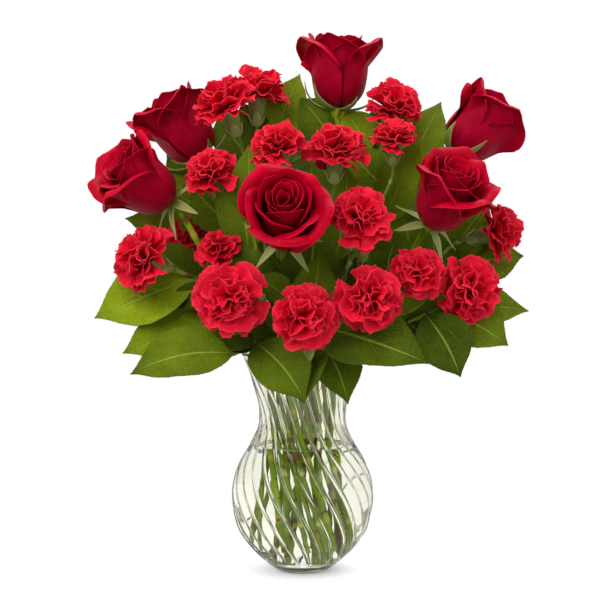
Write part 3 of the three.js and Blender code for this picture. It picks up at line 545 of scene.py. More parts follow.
def sheet(grid, thickness, finish, **marks):
    """A closed thin shell over a grid of points, rows from root to tip."""
    rows, columns = grid.shape[:2]
    normal = np.cross(np.gradient(grid, axis=1), np.gradient(grid, axis=0))
    normal /= np.maximum(np.linalg.norm(normal, axis=2, keepdims=True), 1e-9)
    upper, lower = grid + normal * thickness / 2, grid - normal * thickness / 2
    points = np.concatenate([upper.reshape(-1, 3), lower.reshape(-1, 3)])
    front, count = grid_faces(rows, columns), rows * columns
    ids = np.arange(count).reshape(rows, columns)
    rim = np.concatenate([ids[0, :-1], ids[:-1, -1], ids[-1, :0:-1], ids[:0:-1, 0]])
    after = np.roll(rim, -1)
    edge = np.stack([rim + count, after + count, after, rim], axis=-1)
    faces = np.concatenate([front, front[:, ::-1] + count, edge])
    doubled = {}
    for key, value in marks.items():
        doubled[key] = np.tile(np.broadcast_to(value, (rows, columns)).ravel(), 2)
    doubled["under"] = np.repeat([0.0, 1.0], count)
    return points, faces.tolist(), doubled, finish


flat = np.array([[(x, y, 0.0) for x in range(3)] for y in range(3)])
print("faces of a sheet of 3 by 3 points:", len(sheet(flat, 1, None)[1]))


# %% Rings
def rings_up(profile, angles, swell=1.0):
    """A ring of points for each (height, radius) row. The swell is a share of the radius at each angle."""
    swell = np.broadcast_to(swell, angles.shape)
    return np.array([[(r * k * math.cos(a), r * k * math.sin(a), z) for a, k in zip(angles, swell)]
                     for z, r in profile])


def wound(rings, finish, **marks):
    """A closed form from rings of points, with a point at each end. rings is rows by columns by three."""
    rows, columns = rings.shape[:2]
    points = [*rings.reshape(-1, 3), rings[0].mean(0), rings[-1].mean(0)]
    ids = np.arange(rows * columns).reshape(rows, columns)
    turned = np.roll(ids, -1, axis=1)
    sides = np.stack([ids[:-1], turned[:-1], turned[1:], ids[1:]], axis=-1).reshape(-1, 4)
    bottom = [(rows * columns, b, a) for a, b in zip(ids[0], turned[0])]
    top = [(rows * columns + 1, a, b) for a, b in zip(ids[-1], turned[-1])]
    kept = {}
    for key, value in marks.items():
        value = np.broadcast_to(value, (rows, columns))
        kept[key] = np.concatenate([value.ravel(), [value[0].mean(), value[-1].mean()]])
    return np.array(points), [*sides.tolist(), *bottom, *top], kept, finish


print("faces of a drum of 8 sides:", len(wound(rings_up([(0, 1), (1, 1)], all_round(8)), None)[1]))

# %% Pieces
SHARP_EDGE = math.radians(62)  # faces that meet at less than this are shaded as one smooth surface
print("an edge is sharp from", round(math.degrees(SHARP_EDGE)), "degrees")


def moved(part, matrix):
    """A part in another place."""
    points, *rest = part
    return placed(points, matrix), *rest


def set_mark(mesh, name, values):
    """Keeps a number on each point of a mesh."""
    mesh.attributes.new(name, "FLOAT", "POINT").data.foreach_set("value", values)


def piece(name, parts, node):
    """Joins parts into one object that stands for a CAD node."""
    points, faces, finishes, used = [], [], [], []
    marks = {key: [] for part in parts for key in part[2]}
    for part_points, part_faces, part_marks, finish in parts:
        start = len(points)
        points.extend(part_points * MM)
        faces.extend([[start + i for i in face] for face in part_faces])
        if finish not in used:
            used.append(finish)
        finishes.extend([used.index(finish)] * len(part_faces))
        for key, values in marks.items():
            values.append(part_marks.get(key, np.zeros(len(part_points))))
    mesh = bpy.data.meshes.new(name)
    mesh.from_pydata(points, [], faces)
    for finish in used:
        mesh.materials.append(finish)
    mesh.polygons.foreach_set("material_index", finishes)
    for key, values in marks.items():
        set_mark(mesh, key, np.concatenate(values))
    mesh.shade_smooth()
    mesh.set_sharp_from_angle(angle=SHARP_EDGE)
    made = shown(name, mesh)
    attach(made, "root")
    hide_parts(node)
    return made


# %% [markdown]
# ## Growing with Geometry Nodes
# What repeats or follows a path is grown by a node tree: the ribbed glass, every stem with its knuckles,
# and the whorl of petals of each carnation. A tree is built once with named inputs, used on many plain
# sources, and its result is turned into an ordinary mesh, because instances don't leave Blender.

# %% Node tree helpers
def new_tree(name, inputs):
    """A geometry node tree with named inputs, and the sockets that give them."""
    tree = bpy.data.node_groups.new(name, "GeometryNodeTree")
    tree.interface.new_socket("Geometry", in_out="INPUT", socket_type="NodeSocketGeometry")
    for label, (kind, value) in inputs.items():
        socket = tree.interface.new_socket(label, in_out="INPUT", socket_type="NodeSocket" + kind)
        if value is not None:
            socket.default_value = value
    tree.interface.new_socket("Geometry", in_out="OUTPUT", socket_type="NodeSocketGeometry")
    return tree, tree.nodes.new("NodeGroupInput").outputs


def mark_of(tree, name):
    """Reads a mark that is kept on the points."""
    return add(tree, "GeometryNodeInputNamedAttribute", {"Name": name}, data_type="FLOAT").outputs[0]


def keep_mark(tree, geometry, name, value):
    """Stores a mark on the points, and gives the geometry with it."""
    inputs = {"Geometry": geometry, "Name": name, "Value": value}
    return add(tree, "GeometryNodeStoreNamedAttribute", inputs, data_type="FLOAT", domain="POINT").outputs[0]


def unit_circle(tree, sides):
    """A circle of radius 1, to sweep along or round."""
    inputs = {"Resolution": sides, "Radius": 1.0}
    return add(tree, "GeometryNodeCurvePrimitiveCircle", inputs).outputs["Curve"]


def finish_tree(tree, geometry, finish):
    """Every tree ends alike: smooth, real geometry with its material."""
    soft = add(tree, "GeometryNodeSetShadeSmooth", {"Geometry": geometry})
    real = add(tree, "GeometryNodeRealizeInstances", {"Geometry": soft.outputs[0]})
    coloured = add(tree, "GeometryNodeSetMaterial", {"Geometry": real.outputs[0], "Material": finish})
    add(tree, "NodeGroupOutput", {"Geometry": coloured.outputs[0]})


# %% Growing a part
def grow(tree, source, **sizes):
    """Runs a tree on a source mesh and gives the result as a part."""
    holder = shown("growing", source)
    modifier = holder.modifiers.new("grow", "NODES")
    modifier.node_group = tree
    for socket in tree.interface.items_tree:
        if socket.in_out == "INPUT" and socket.name in sizes:
            modifier[socket.identifier] = sizes[socket.name]
    mesh = bpy.data.meshes.new_from_object(holder.evaluated_get(bpy.context.evaluated_depsgraph_get()))
    bpy.data.objects.remove(holder)
    points = np.zeros(len(mesh.vertices) * 3)
    mesh.vertices.foreach_get("co", points)
    marks = {}
    for kept in mesh.attributes:
        if kept.domain == "POINT" and kept.data_type == "FLOAT" and not kept.name.startswith("."):
            values = np.zeros(len(mesh.vertices))
            kept.data.foreach_get("value", values)
            marks[kept.name] = values
    faces = [list(face.vertices) for face in mesh.polygons]
    part = points.reshape(-1, 3) / MM, faces, marks, sizes["Finish"]
    bpy.data.meshes.remove(mesh)
    return part


def chains(lines, **marks):
    """A mesh of separate chains of edges, with a mark for each point."""
    mesh = bpy.data.meshes.new("chains")
    starts = np.cumsum([0, *[len(line) for line in lines]])
    edges = [(s + i, s + i + 1) for s, line in zip(starts, lines) for i in range(len(line) - 1)]
    mesh.from_pydata(np.concatenate(lines) * MM, edges, [])
    for key, values in marks.items():
        set_mark(mesh, key, np.concatenate(values))
    return mesh


# %% [markdown]
# ## Effects shared by several finishes
# Plants are never one colour. Four node groups are placed in the finishes, each with its own values: soft
# mottling, fine streaks that run along a petal or a stem, the veins of a leaf, and the net between them.

# %% Mottling and streaks
def new_group(name, inputs, outputs):
    """A shader node group with named inputs and outputs, and the sockets that give its inputs."""
    tree = bpy.data.node_groups.new(name, "ShaderNodeTree")
    for label, value in inputs.items():
        socket = tree.interface.new_socket(label, in_out="INPUT", socket_type="NodeSocketFloat")
        socket.default_value = value
    for label in outputs:
        tree.interface.new_socket(label, in_out="OUTPUT", socket_type="NodeSocketFloat")
    return tree, tree.nodes.new("NodeGroupInput").outputs


def mottling():
    """Soft patches over the whole piece, from 0 to 1. Size is in patches to a metre."""
    tree, given = new_group("mottling", {"Size": 80, "Contrast": 1.5}, ["Mask"])
    spot = add(tree, "ShaderNodeTexCoord").outputs["Object"]
    noise = add(tree, "ShaderNodeTexNoise", {"Vector": spot, "Scale": given["Size"], "Detail": 3})
    centred = maths(tree, "SUBTRACT", noise.outputs["Fac"], 0.5)
    spread = maths(tree, "MULTIPLY", centred, maths(tree, "MULTIPLY", given["Contrast"], 2))
    add(tree, "NodeGroupOutput", {"Mask": maths(tree, "ADD", spread, 0.5, clamp=True)})
    return tree


def streaking():
    """Fine lines that run along a petal or a stem, from 0 to 1."""
    tree, given = new_group("streaking", {"Along": 0, "Across": 0, "Lines": 30, "Length": 3}, ["Mask"])
    inputs = {0: maths(tree, "MULTIPLY", given["Across"], given["Lines"]),
              1: maths(tree, "MULTIPLY", given["Along"], given["Length"])}
    spot = add(tree, "ShaderNodeCombineXYZ", inputs).outputs[0]
    noise = add(tree, "ShaderNodeTexNoise", {"Vector": spot, "Scale": 1, "Detail": 2})
    spread = maths(tree, "MULTIPLY_ADD", noise.outputs["Fac"], 2.6, -0.8, clamp=True)
    add(tree, "NodeGroupOutput", {"Mask": spread})
    return tree


GROUPS = {"mottling": mottling(), "streaking": streaking()}
print("shared effects:", ", ".join(GROUPS))


# %% Veins and the net between them
VEIN_CURVE = 1.25  # over 1, a side vein bends forward on its way to the edge
VEIN_OFFSET = 0.22  # the veins of the two sides leave the midrib in turn
MIDRIB = (0.055, 0.015)  # shares of the half width, where the midrib starts to show and where it is full


def veining():
    """A midrib and side veins that curve forward to the edge: 1 on a vein, 0 between."""
    inputs = {"Along": 0, "Across": 0, "Pairs": 6, "Sweep": 0.3, "Width": 0.1}
    tree, given = new_group("veining", inputs, ["Veins", "Midrib", "Quilt"])
    off = maths(tree, "ABSOLUTE", given["Across"])
    swept = maths(tree, "MULTIPLY", maths(tree, "POWER", off, VEIN_CURVE), given["Sweep"])
    start = maths(tree, "SUBTRACT", given["Along"], swept)
    side = maths(tree, "MULTIPLY", maths(tree, "SIGN", given["Across"]), VEIN_OFFSET)
    lane = maths(tree, "ADD", maths(tree, "MULTIPLY", start, given["Pairs"]), side)
    gap = maths(tree, "MULTIPLY", maths(tree, "PINGPONG", lane, 0.5), 2)  # 0 on a vein, 1 between two
    width = maths(tree, "MULTIPLY", given["Width"], maths(tree, "MULTIPLY_ADD", off, -0.6, 1))
    fainter = maths(tree, "MULTIPLY_ADD", off, -0.75, 1)
    veins = maths(tree, "MULTIPLY", fade(tree, gap, width, 0), fainter)
    add(tree, "NodeGroupOutput", {"Veins": veins, "Midrib": fade(tree, off, *MIDRIB), "Quilt": gap})
    return tree


def netting():
    """The fine net between the veins: 1 on its threads, 0 in its cells."""
    tree, given = new_group("netting", {"Along": 0, "Across": 0, "Cells": 40, "Width": 0.12}, ["Mask"])
    across = maths(tree, "MULTIPLY", given["Cells"], 0.28)  # a leaf is narrower than it is long
    inputs = {0: maths(tree, "MULTIPLY", given["Along"], given["Cells"]),
              1: maths(tree, "MULTIPLY", given["Across"], across)}
    spot = add(tree, "ShaderNodeCombineXYZ", inputs).outputs[0]
    cells = add(tree, "ShaderNodeTexVoronoi", {"Vector": spot, "Scale": 1}, feature="DISTANCE_TO_EDGE")
    add(tree, "NodeGroupOutput", {"Mask": fade(tree, cells.outputs["Distance"], given["Width"], 0)})
    return tree


GROUPS |= {"veining": veining(), "netting": netting()}
print("and more for leaves:", ", ".join(GROUPS))


# %% Placing an effect in a finish
def effect(tree, name, **inputs):
    """Places a shared effect in a finish."""
    return add(tree, "ShaderNodeGroup", inputs, node_tree=GROUPS[name]).outputs


def read(tree, *names):
    """Marks on the points, in a material."""
    return [add(tree, "ShaderNodeAttribute", attribute_name=name).outputs["Fac"] for name in names]


def painted(tree, shader, body, height, depth, strength):
    """Gives the shader its colour, and raises the surface by a height from 0 to 1, depth metres deep."""
    made = add(tree, "ShaderNodeBump", {"Height": height, "Distance": depth, "Strength": strength})
    tree.links.new(made.outputs[0], shader.inputs["Normal"])
    tree.links.new(body, shader.inputs["Base Color"])


sockets = [item.name for item in GROUPS["veining"].interface.items_tree if item.in_out == "INPUT"]
print("a leaf sets these on the veining:", ", ".join(sockets))

# %% [markdown]
# ## Finishes of the petals
# A rose petal is velvet: deep crimson with a thin paler edge, and painted darker towards its root as the
# shade deep in the head. A carnation petal is lighter and more orange, palest along its crumpled edge, with
# pale lines that are painted highlights, and painted darker towards the claw as the shade in its heart. A
# little sheen on the shader gives the velvet, and its gloss is tinted red, because a white one would look
# like plastic.
# The marks along each petal place the colours.

# %% Petal finishes
def rose_petal_finish():
    """Velvet crimson, paler at the rim, with painted shade that darkens it towards the root. The under side
    of a petal is a little pinker, and takes less of that painted shade.
    """
    finish, tree, shader = new_finish(
        "rose petal", Roughness=0.48, Sheen_Weight=0.1, Sheen_Roughness=0.3, Sheen_Tint=colour(255, 20, 75),
        Specular_IOR_Level=0.24, Specular_Tint=colour(255, 90, 120))
    along, across, under = read(tree, "along", "across", "under")
    lines = effect(tree, "streaking", Along=along, Across=across, Lines=26, Length=1.5)["Mask"]
    patches = effect(tree, "mottling", Size=60, Contrast=1.6)["Mask"]
    inside = mixed(tree, patches, colour(170, 0, 28), colour(196, 0, 38))
    outside = mixed(tree, patches, colour(152, 0, 34), colour(180, 4, 44))
    body = mixed(tree, under, inside, outside)
    body = mixed(tree, maths(tree, "MULTIPLY", lines, 0.3), body, colour(124, 0, 22))
    # painted shade: darker towards the root, where the petals lie deep in the head; the under side takes less
    # of it
    painted_root_shade, upper = fade(tree, along, 0.8, 0.3, 0.85), maths(tree, "MULTIPLY_ADD", under, -0.65, 1)
    body = mixed(tree, maths(tree, "MULTIPLY", painted_root_shade, upper), body, colour(84, 0, 12))
    body = mixed(tree, fade(tree, along, 0.96, 1, 0.35), body, colour(206, 14, 50))
    painted(tree, shader, body, lines, 0.00025, 0.5)
    return finish


def carnation_petal_finish():
    """Scarlet, with a paler rim, pale lines painted as highlights along its fine streaks, and painted shade
    towards the claw.
    """
    finish, tree, shader = new_finish(
        "carnation petal", Roughness=0.6, Sheen_Weight=0.05, Sheen_Roughness=0.4, Specular_IOR_Level=0.12,
        Sheen_Tint=colour(255, 90, 100))
    along, across = read(tree, "along", "across")
    lines = effect(tree, "streaking", Along=along, Across=across, Lines=14, Length=1)["Mask"]
    patches = effect(tree, "mottling", Size=150, Contrast=1.8)["Mask"]
    body = mixed(tree, patches, colour(208, 0, 38), colour(228, 10, 46))
    # painted shade: darker towards the claw, deep in the heart of the head
    body = mixed(tree, fade(tree, along, 0.75, 0.2, 0.7), body, colour(160, 0, 26))
    # painted highlights: the pale lines are laid along the fine streaks, which also raise the surface
    body = mixed(tree, maths(tree, "MULTIPLY", lines, 0.3), body, colour(236, 40, 66))
    body = mixed(tree, fade(tree, along, 0.92, 1, 0.5), body, colour(240, 60, 78))
    painted(tree, shader, body, lines, 0.0004, 0.6)
    return finish


ROSE_PETAL = rose_petal_finish()
CARNATION_PETAL = carnation_petal_finish()
print("finishes:", ROSE_PETAL.name, "and", CARNATION_PETAL.name)

# %% [markdown]
# ## Finishes of the green parts
# A stem is streaked in two greens, paler or browner at its knuckles, with brown scars where leaves were
# stripped. Calyces and sepals are paler, with fine lines. A salal leaf is leathery: faintly glossy on
# top, with sunken pale veins and a quilted surface, and duller grey-green beneath.

# %% Stem finishes
def stem_finish(name, low, high, knuckle, scar):
    """A stem from its darker to its lighter green, with the colour of its knuckles and of its scars."""
    finish, tree, shader = new_finish(name, Roughness=0.5, Specular_IOR_Level=0.08)
    along, across, swelling = read(tree, "along", "across", "knuckle")
    patches = effect(tree, "mottling", Size=30, Contrast=1.6)["Mask"]
    spots = effect(tree, "mottling", Size=120, Contrast=2.6)["Mask"]
    lines = effect(tree, "streaking", Along=along, Across=across, Lines=9, Length=40)["Mask"]
    body = mixed(tree, patches, low, high)
    body = mixed(tree, maths(tree, "MULTIPLY", lines, 0.7), body, low)
    body = mixed(tree, maths(tree, "MULTIPLY", swelling, 0.8), body, knuckle)
    body = mixed(tree, fade(tree, spots, 0.96, 0.98, 0.95), body, scar)
    painted(tree, shader, body, lines, 0.0003, 0.5)
    return finish


ROSE_STEM = stem_finish(
    "rose stem", colour(88, 118, 12), colour(152, 180, 36), colour(168, 160, 56), colour(104, 62, 30))
SPRAY_STEM = stem_finish(
    "carnation stem", colour(80, 112, 34), colour(156, 180, 76), colour(188, 192, 110), colour(112, 70, 40))
LEAFY_STEM = stem_finish(
    "salal stem", colour(96, 118, 22), colour(146, 156, 50), colour(118, 74, 40), colour(92, 50, 32))
print("finishes:", ", ".join(finish.name for finish in (ROSE_STEM, SPRAY_STEM, LEAFY_STEM)))


# %% Sepal and calyx finishes
def sepal_finish():
    """Lined grey-green above and greener beneath, with pale edges."""
    finish, tree, shader = new_finish("sepal", Roughness=0.55, Specular_IOR_Level=0.3)
    along, across, under = read(tree, "along", "across", "under")
    lines = effect(tree, "streaking", Along=along, Across=across, Lines=8, Length=1.2)["Mask"]
    upper = mixed(tree, lines, colour(132, 146, 66), colour(164, 170, 100))
    lower = mixed(tree, lines, colour(92, 118, 34), colour(122, 144, 52))
    body = mixed(tree, under, upper, lower)
    edge = fade(tree, maths(tree, "ABSOLUTE", across), 0.7, 1, 0.6)
    painted(tree, shader, mixed(tree, edge, body, colour(192, 190, 134)), lines, 0.0003, 0.5)
    return finish


def calyx_finish():
    """Lined green, paler at the foot."""
    finish, tree, shader = new_finish("calyx", Roughness=0.5, Specular_IOR_Level=0.35)
    along, across = read(tree, "along", "across")
    lines = effect(tree, "streaking", Along=along, Across=across, Lines=16, Length=1)["Mask"]
    body = mixed(tree, lines, colour(106, 122, 44), colour(142, 150, 70))
    body = mixed(tree, fade(tree, along, 0.35, 0, 0.5), body, colour(172, 172, 96))
    patches = effect(tree, "mottling", Size=140, Contrast=2)["Mask"]
    body = mixed(tree, maths(tree, "MULTIPLY", patches, 0.4), body, colour(80, 96, 30))
    painted(tree, shader, body, lines, 0.0004, 0.5)
    return finish


SEPAL = sepal_finish()
CALYX = calyx_finish()
print("finishes:", SEPAL.name, "and", CALYX.name)

# %% Leaf finish
def leaf_finish():
    """A mark on the points runs from a dark leaf at 0 to a bright one at 1: partly the leaf's own green, and
    partly painted shade for leaves that lie in shadow.
    """
    finish, tree, shader = new_finish(
        "salal leaf", Specular_IOR_Level=0.2, Specular_Tint=(0.8, 0.95, 0.15, 1))
    along, across, under, tone = read(tree, "along", "across", "under", "tone")
    veins = effect(tree, "veining", Along=along, Across=across, Pairs=6, Sweep=0.36, Width=0.13)
    net = effect(tree, "netting", Along=along, Across=across, Cells=44, Width=0.2)["Mask"]
    patches = effect(tree, "mottling", Size=38, Contrast=1.6)["Mask"]
    # painted shade: the brightness mark blends each green between a darker copy for leaves in shadow and a
    # lighter one for lit leaves, and it is partly each leaf's own green
    dark = mixed(tree, tone, colour(40, 56, 8), colour(98, 118, 0))
    light = mixed(tree, tone, colour(62, 82, 14), colour(130, 150, 14))
    upper = mixed(tree, patches, dark, light)
    pale = mixed(tree, tone, colour(92, 112, 30), colour(156, 174, 48))
    upper = mixed(tree, maths(tree, "MULTIPLY", net, 0.4), upper, pale)
    upper = mixed(tree, veins["Veins"], upper, pale)
    upper = mixed(tree, maths(tree, "MULTIPLY", veins["Midrib"], 0.85), upper, colour(146, 166, 56))
    lower = mixed(tree, patches, colour(92, 112, 46), colour(118, 136, 66))
    ribs = maths(tree, "MAXIMUM", veins["Veins"], veins["Midrib"])
    lower = mixed(tree, maths(tree, "MULTIPLY", ribs, 0.6), lower, colour(160, 172, 118))
    rough = maths(tree, "MULTIPLY_ADD", under, 0.2, 0.42)
    tree.links.new(maths(tree, "MULTIPLY_ADD", patches, 0.1, rough), shader.inputs["Roughness"])
    sunk = maths(tree, "MULTIPLY_ADD", veins["Veins"], -0.8, maths(tree, "MULTIPLY", net, -0.35))
    quilt = maths(tree, "MULTIPLY_ADD", veins["Quilt"], 0.3, sunk)
    relief = maths(tree, "SUBTRACT", quilt, veins["Midrib"])
    painted(tree, shader, mixed(tree, under, upper, lower), relief, 0.0009, 0.7)
    return finish


SALAL_LEAF = leaf_finish()
print("nodes in the leaf finish:", len(SALAL_LEAF.node_tree.nodes))

# %% [markdown]
# ## Glass and water
# Clear glass has only a faint ivory cast, so what makes it real is its shape and thickness, with a very
# slight unevenness. The cast could be absorbed along the way through the glass, but here it is given
# where light passes the surface, which is enough for a wall this thin. Water is the same kind of finish
# with less bending of the light. Where water touches glass, light passes from one to the other without
# meeting air, so the wet wall bends it by the ratio of the two, and the water's own side, a hair away,
# doesn't bend it at all.

# %% Glass and water finishes
GLASS_BENDS, WATER_BENDS = 1.5, 1.333  # how much each bends the light
GLASS_LOOK = ((0.975, 0.965, 0.8, 1), (0.985, 0.975, 0.88, 1), 0.0004)  # two tints, and metres of ripple
WET_LOOK = ((0.99, 1, 0.99, 1), WHITE, 0.0002)
PALE_SHADOW = (0.87, 0.88, 0.84, 1)  # glass and water hold back this little of a lamp's light


def clear_finish(name, bends, tint, paler, ripple, straight=False):
    """A finish for glass or water. Where it is straight, light goes through without meeting a surface."""
    finish, tree, shader = new_finish(name, Roughness=0.0, IOR=bends, Transmission_Weight=1.0)
    patches = effect(tree, "mottling", Size=18, Contrast=1.0)["Mask"]
    painted(tree, shader, mixed(tree, patches, tint, paler), patches, ripple, 1.0)
    passing = 1.0 if straight else add(tree, "ShaderNodeLightPath").outputs["Is Shadow Ray"]
    unbent = add(tree, "ShaderNodeBsdfTransparent", {"Color": WHITE if straight else PALE_SHADOW})
    show_both(tree, passing, shader, unbent)
    return finish


GLASS = clear_finish("clear glass", GLASS_BENDS, *GLASS_LOOK)
WET_GLASS = clear_finish("clear glass against water", GLASS_BENDS / WATER_BENDS, *WET_LOOK)
WATER = clear_finish("water", WATER_BENDS, *WET_LOOK)
WET_WATER = clear_finish("water against glass", 1.0, *WET_LOOK, straight=True)
print("a wet wall bends light by", round(GLASS_BENDS / WATER_BENDS, 3))

# %% [markdown]
# ## The vase
# The vase is a turned form with 24 narrow ribs that wind down round it. It could be modelled by hand and
# twisted, but its rule is simple, so a tree makes it: the profile is swept round a circle, and each point
# is then moved out by a rib whose angle depends on its height. Inside, the glass is smooth.

# %% Profile of the glass
VASE_OUTLINE = [(0, 19), (3, 23.6), (7, 29), (12, 34.4), (18, 40), (26, 46.4), (36, 52), (64, 56.5), (86, 51),
                (104, 41), (118, 35), (132, 34.5), (154, 40), (178, 49)]  # height and radius
FOOT = [(0, 1.2), (11, 1.0), (15, 0.4), (16.6, 0.0), (18.2, 0.1), (20, 0.7)]  # radius and height, underneath
CORNER = [(1.6, 11.6), (4, 10), (8, 9.3)]  # how far in from the inner wall, and height, inside at the floor
VASE_HEIGHT, GLASS_WALL, GLASS_FLOOR, WATER_TOP = 178, 4.2, 9, 102
WALL_STARTS = GLASS_FLOOR + 5  # the inner wall stands on a rounded corner
FLOOR_FLAT = 14  # radius of the level middle of the floor inside
WET_TOP = WATER_TOP + 0.5  # water climbs the glass a little
RIBS, RIB_RELIEF, RIB_TURN = 24, 1.1, math.radians(105)
RIBS_RISE, RIBS_END = (5, 22), (150, 171)  # heights between which the ribs grow out of the glass, and fade
outline = smooth([(r, 0, z) for z, r in VASE_OUTLINE], 30)


def radius_at(z):
    """Radius of the outside of the glass, without its ribs."""
    return np.interp(z, outline[:, 2], outline[:, 0])


def ease(value, low, high):
    """0 up to the low value and 1 from the high one, with a soft change between."""
    share = min(max((value - low) / (high - low), 0), 1)
    return share * share * (3 - 2 * share)


def glass_profile():
    """Radius, height and rib height, up the outside and down the inside."""
    found = [(r, z, 0) for r, z in FOOT]
    for z in np.linspace(2, VASE_HEIGHT - 4, 96):
        relief = RIB_RELIEF * ease(z, *RIBS_RISE) * (1 - ease(z, *RIBS_END))
        found.append((radius_at(z), z, relief))
    half = GLASS_WALL / 2
    lip = radius_at(VASE_HEIGHT) - half
    for angle in np.linspace(0, math.pi, 9):
        found.append((lip + half * math.cos(angle), VASE_HEIGHT - 2 + 2 * math.sin(angle), 0))
    for z in [*np.linspace(VASE_HEIGHT - 6, WET_TOP, 20), *np.linspace(WET_TOP, WALL_STARTS, 30)[1:]]:
        found.append((radius_at(z) - GLASS_WALL, z, 0))
    corner = radius_at(WALL_STARTS) - GLASS_WALL
    found += [(corner - inset, z, 0) for inset, z in CORNER]
    return [*found, (FLOOR_FLAT, GLASS_FLOOR, 0), (0, GLASS_FLOOR, 0)]


print("the vase is", round(2 * outline[:, 0].max()), "mm wide, drawn with", len(glass_profile()), "points")


# %% Tree that turns and ribs a profile
GLASS_SIDES, WATER_SIDES = 19 * RIBS, 144


def turned_tree():
    """Sweeps a profile round a circle, and moves each point out by the rib that winds past it."""
    sizes = {"Sides": ("Int", GLASS_SIDES), "Ribs": ("Int", RIBS), "Wind": ("Float", 0.0),
             "Sharp": ("Float", 22.0), "Gather": ("Float", 0.7), "Finish": ("Material", None)}
    tree, given = new_tree("turned and ribbed", sizes)
    profile = add(tree, "GeometryNodeMeshToCurve", {"Mesh": given["Geometry"]})
    circle = unit_circle(tree, given["Sides"])
    step = maths(tree, "DIVIDE", 2 * math.pi, given["Sides"])
    turn = maths(tree, "MULTIPLY", add(tree, "GeometryNodeInputIndex").outputs[0], step)
    path = keep_mark(tree, circle, "turn", turn)
    swept = add(tree, "GeometryNodeCurveToMesh", {"Curve": path, "Profile Curve": profile.outputs[0]})
    column, height = mark_of(tree, "turn"), mark_of(tree, "height")
    phase = maths(tree, "MULTIPLY", column, given["Ribs"])
    share = maths(tree, "DIVIDE", given["Gather"], given["Ribs"])
    pulled = maths(tree, "MULTIPLY", maths(tree, "SINE", phase), share)
    gathered = maths(tree, "SUBTRACT", column, pulled)
    wave = maths(tree, "COSINE", maths(tree, "MULTIPLY", gathered, given["Ribs"]))
    ridge = maths(tree, "POWER", maths(tree, "MULTIPLY_ADD", wave, 0.5, 0.5), given["Sharp"])
    raised = maths(tree, "MULTIPLY", maths(tree, "MULTIPLY_ADD", ridge, 0.75, -0.2), mark_of(tree, "relief"))
    angle = maths(tree, "SUBTRACT", gathered, maths(tree, "MULTIPLY", height, given["Wind"]))
    reach = maths(tree, "ADD", mark_of(tree, "reach"), raised)
    x = maths(tree, "MULTIPLY", reach, maths(tree, "COSINE", angle))
    y = maths(tree, "MULTIPLY", reach, maths(tree, "SINE", angle))
    spot = add(tree, "ShaderNodeCombineXYZ", {0: x, 1: y, 2: height})
    shaped = add(tree, "GeometryNodeSetPosition", {"Geometry": swept.outputs[0], "Position": spot.outputs[0]})
    closed = add(tree, "GeometryNodeMergeByDistance", {"Geometry": shaped.outputs[0], "Distance": 1e-6})
    finish_tree(tree, closed.outputs[0], given["Finish"])
    return tree


TURNED = turned_tree()
print("nodes that turn and rib a profile:", len(TURNED.nodes))


# %% Turning a profile
def outward(part):
    """Turns the faces of a closed part outwards, if its volume comes out negative."""
    points, faces, marks, finish = part
    volume = sum(np.dot(points[f[0]], np.cross(points[f[i]], points[f[i + 1]]))
                 for f in faces for i in range(1, len(f) - 1))
    return (points, [face[::-1] for face in faces], marks, finish) if volume < 0 else part


def turn_profile(profile, finish, sides, wind=0.0):
    """Turns rows of radius, height and relief into a part. The wind is in radians to a metre of height."""
    line = np.array([(r, 0, z) for r, z, _ in profile], float)
    reach, height, relief = (np.array(profile)[:, k] * MM for k in range(3))
    source = chains([line], reach=[reach], height=[height], relief=[relief])
    return outward(grow(TURNED, source, Finish=finish, Wind=wind, Sides=sides))


# %% Glass
def touching(made, finish, low, high):
    """Gives the faces where water and glass touch a finish of their own. They lie between two heights."""
    made.data.materials.append(finish)
    wet = 0
    for face in made.data.polygons:
        x, y, z = face.center / MM
        if low < z < high and math.hypot(x, y) < radius_at(z) - GLASS_WALL / 2:
            face.material_index = 1
            wet += 1
    print(made.name, "has", wet, "wet faces of", len(made.data.polygons))


vase = turn_profile(glass_profile(), GLASS, GLASS_SIDES, wind=RIB_TURN / (VASE_HEIGHT * MM))
glass = piece("glass_vase", [vase], "vase")
touching(glass, WET_GLASS, GLASS_FLOOR - 1, WET_TOP)

# %% Water
WATER_GAP = 0.12  # the water keeps this far from the glass, which the eye can't see
WATER_FLOOR = GLASS_FLOOR + 0.4
WATER_CORNER = [(8, 9.7), (4.2, 10.3), (1.8, 11.9)]  # as CORNER, a little further in and higher
CLIMB = [(0.5, 0.2), (1.3, 0.05), (4, 0)]  # how far in from the glass, and how high the water climbs there


def water_profile():
    """Radius, height and no relief, out along the floor, up the side and in over the top."""
    found = [(0, WATER_FLOOR, 0), (FLOOR_FLAT, WATER_FLOOR, 0)]
    corner, rim = radius_at(WALL_STARTS) - GLASS_WALL, radius_at(WATER_TOP) - GLASS_WALL
    found += [(corner - inset, z, 0) for inset, z in WATER_CORNER]
    for z in np.linspace(WALL_STARTS, WET_TOP, 40):
        found.append((radius_at(z) - GLASS_WALL - WATER_GAP, z, 0))
    found += [(rim - inset, WATER_TOP + rise, 0) for inset, rise in CLIMB]
    return [*found, (12, WATER_TOP, 0), (0, WATER_TOP, 0)]


water = turn_profile(water_profile(), WATER, WATER_SIDES)
filling = piece("water_in_vase", [water], "water")
touching(filling, WET_WATER, 0, WATER_TOP - 0.1)
for clear in (glass, filling):
    not_glass.objects.link(clear)
for kept in not_glass.collection_objects:
    kept.light_linking.link_state = "EXCLUDE"

# %% [markdown]
# ## Stems
# A stem is a round tube along its path, thicker at the knuckles where leaves grew, and a spray of
# carnations has many of them. Sweeping a circle along a curve is what Geometry Nodes does best: one tree
# takes any number of chains at once, each point with its own thickness, and swells it at even steps.

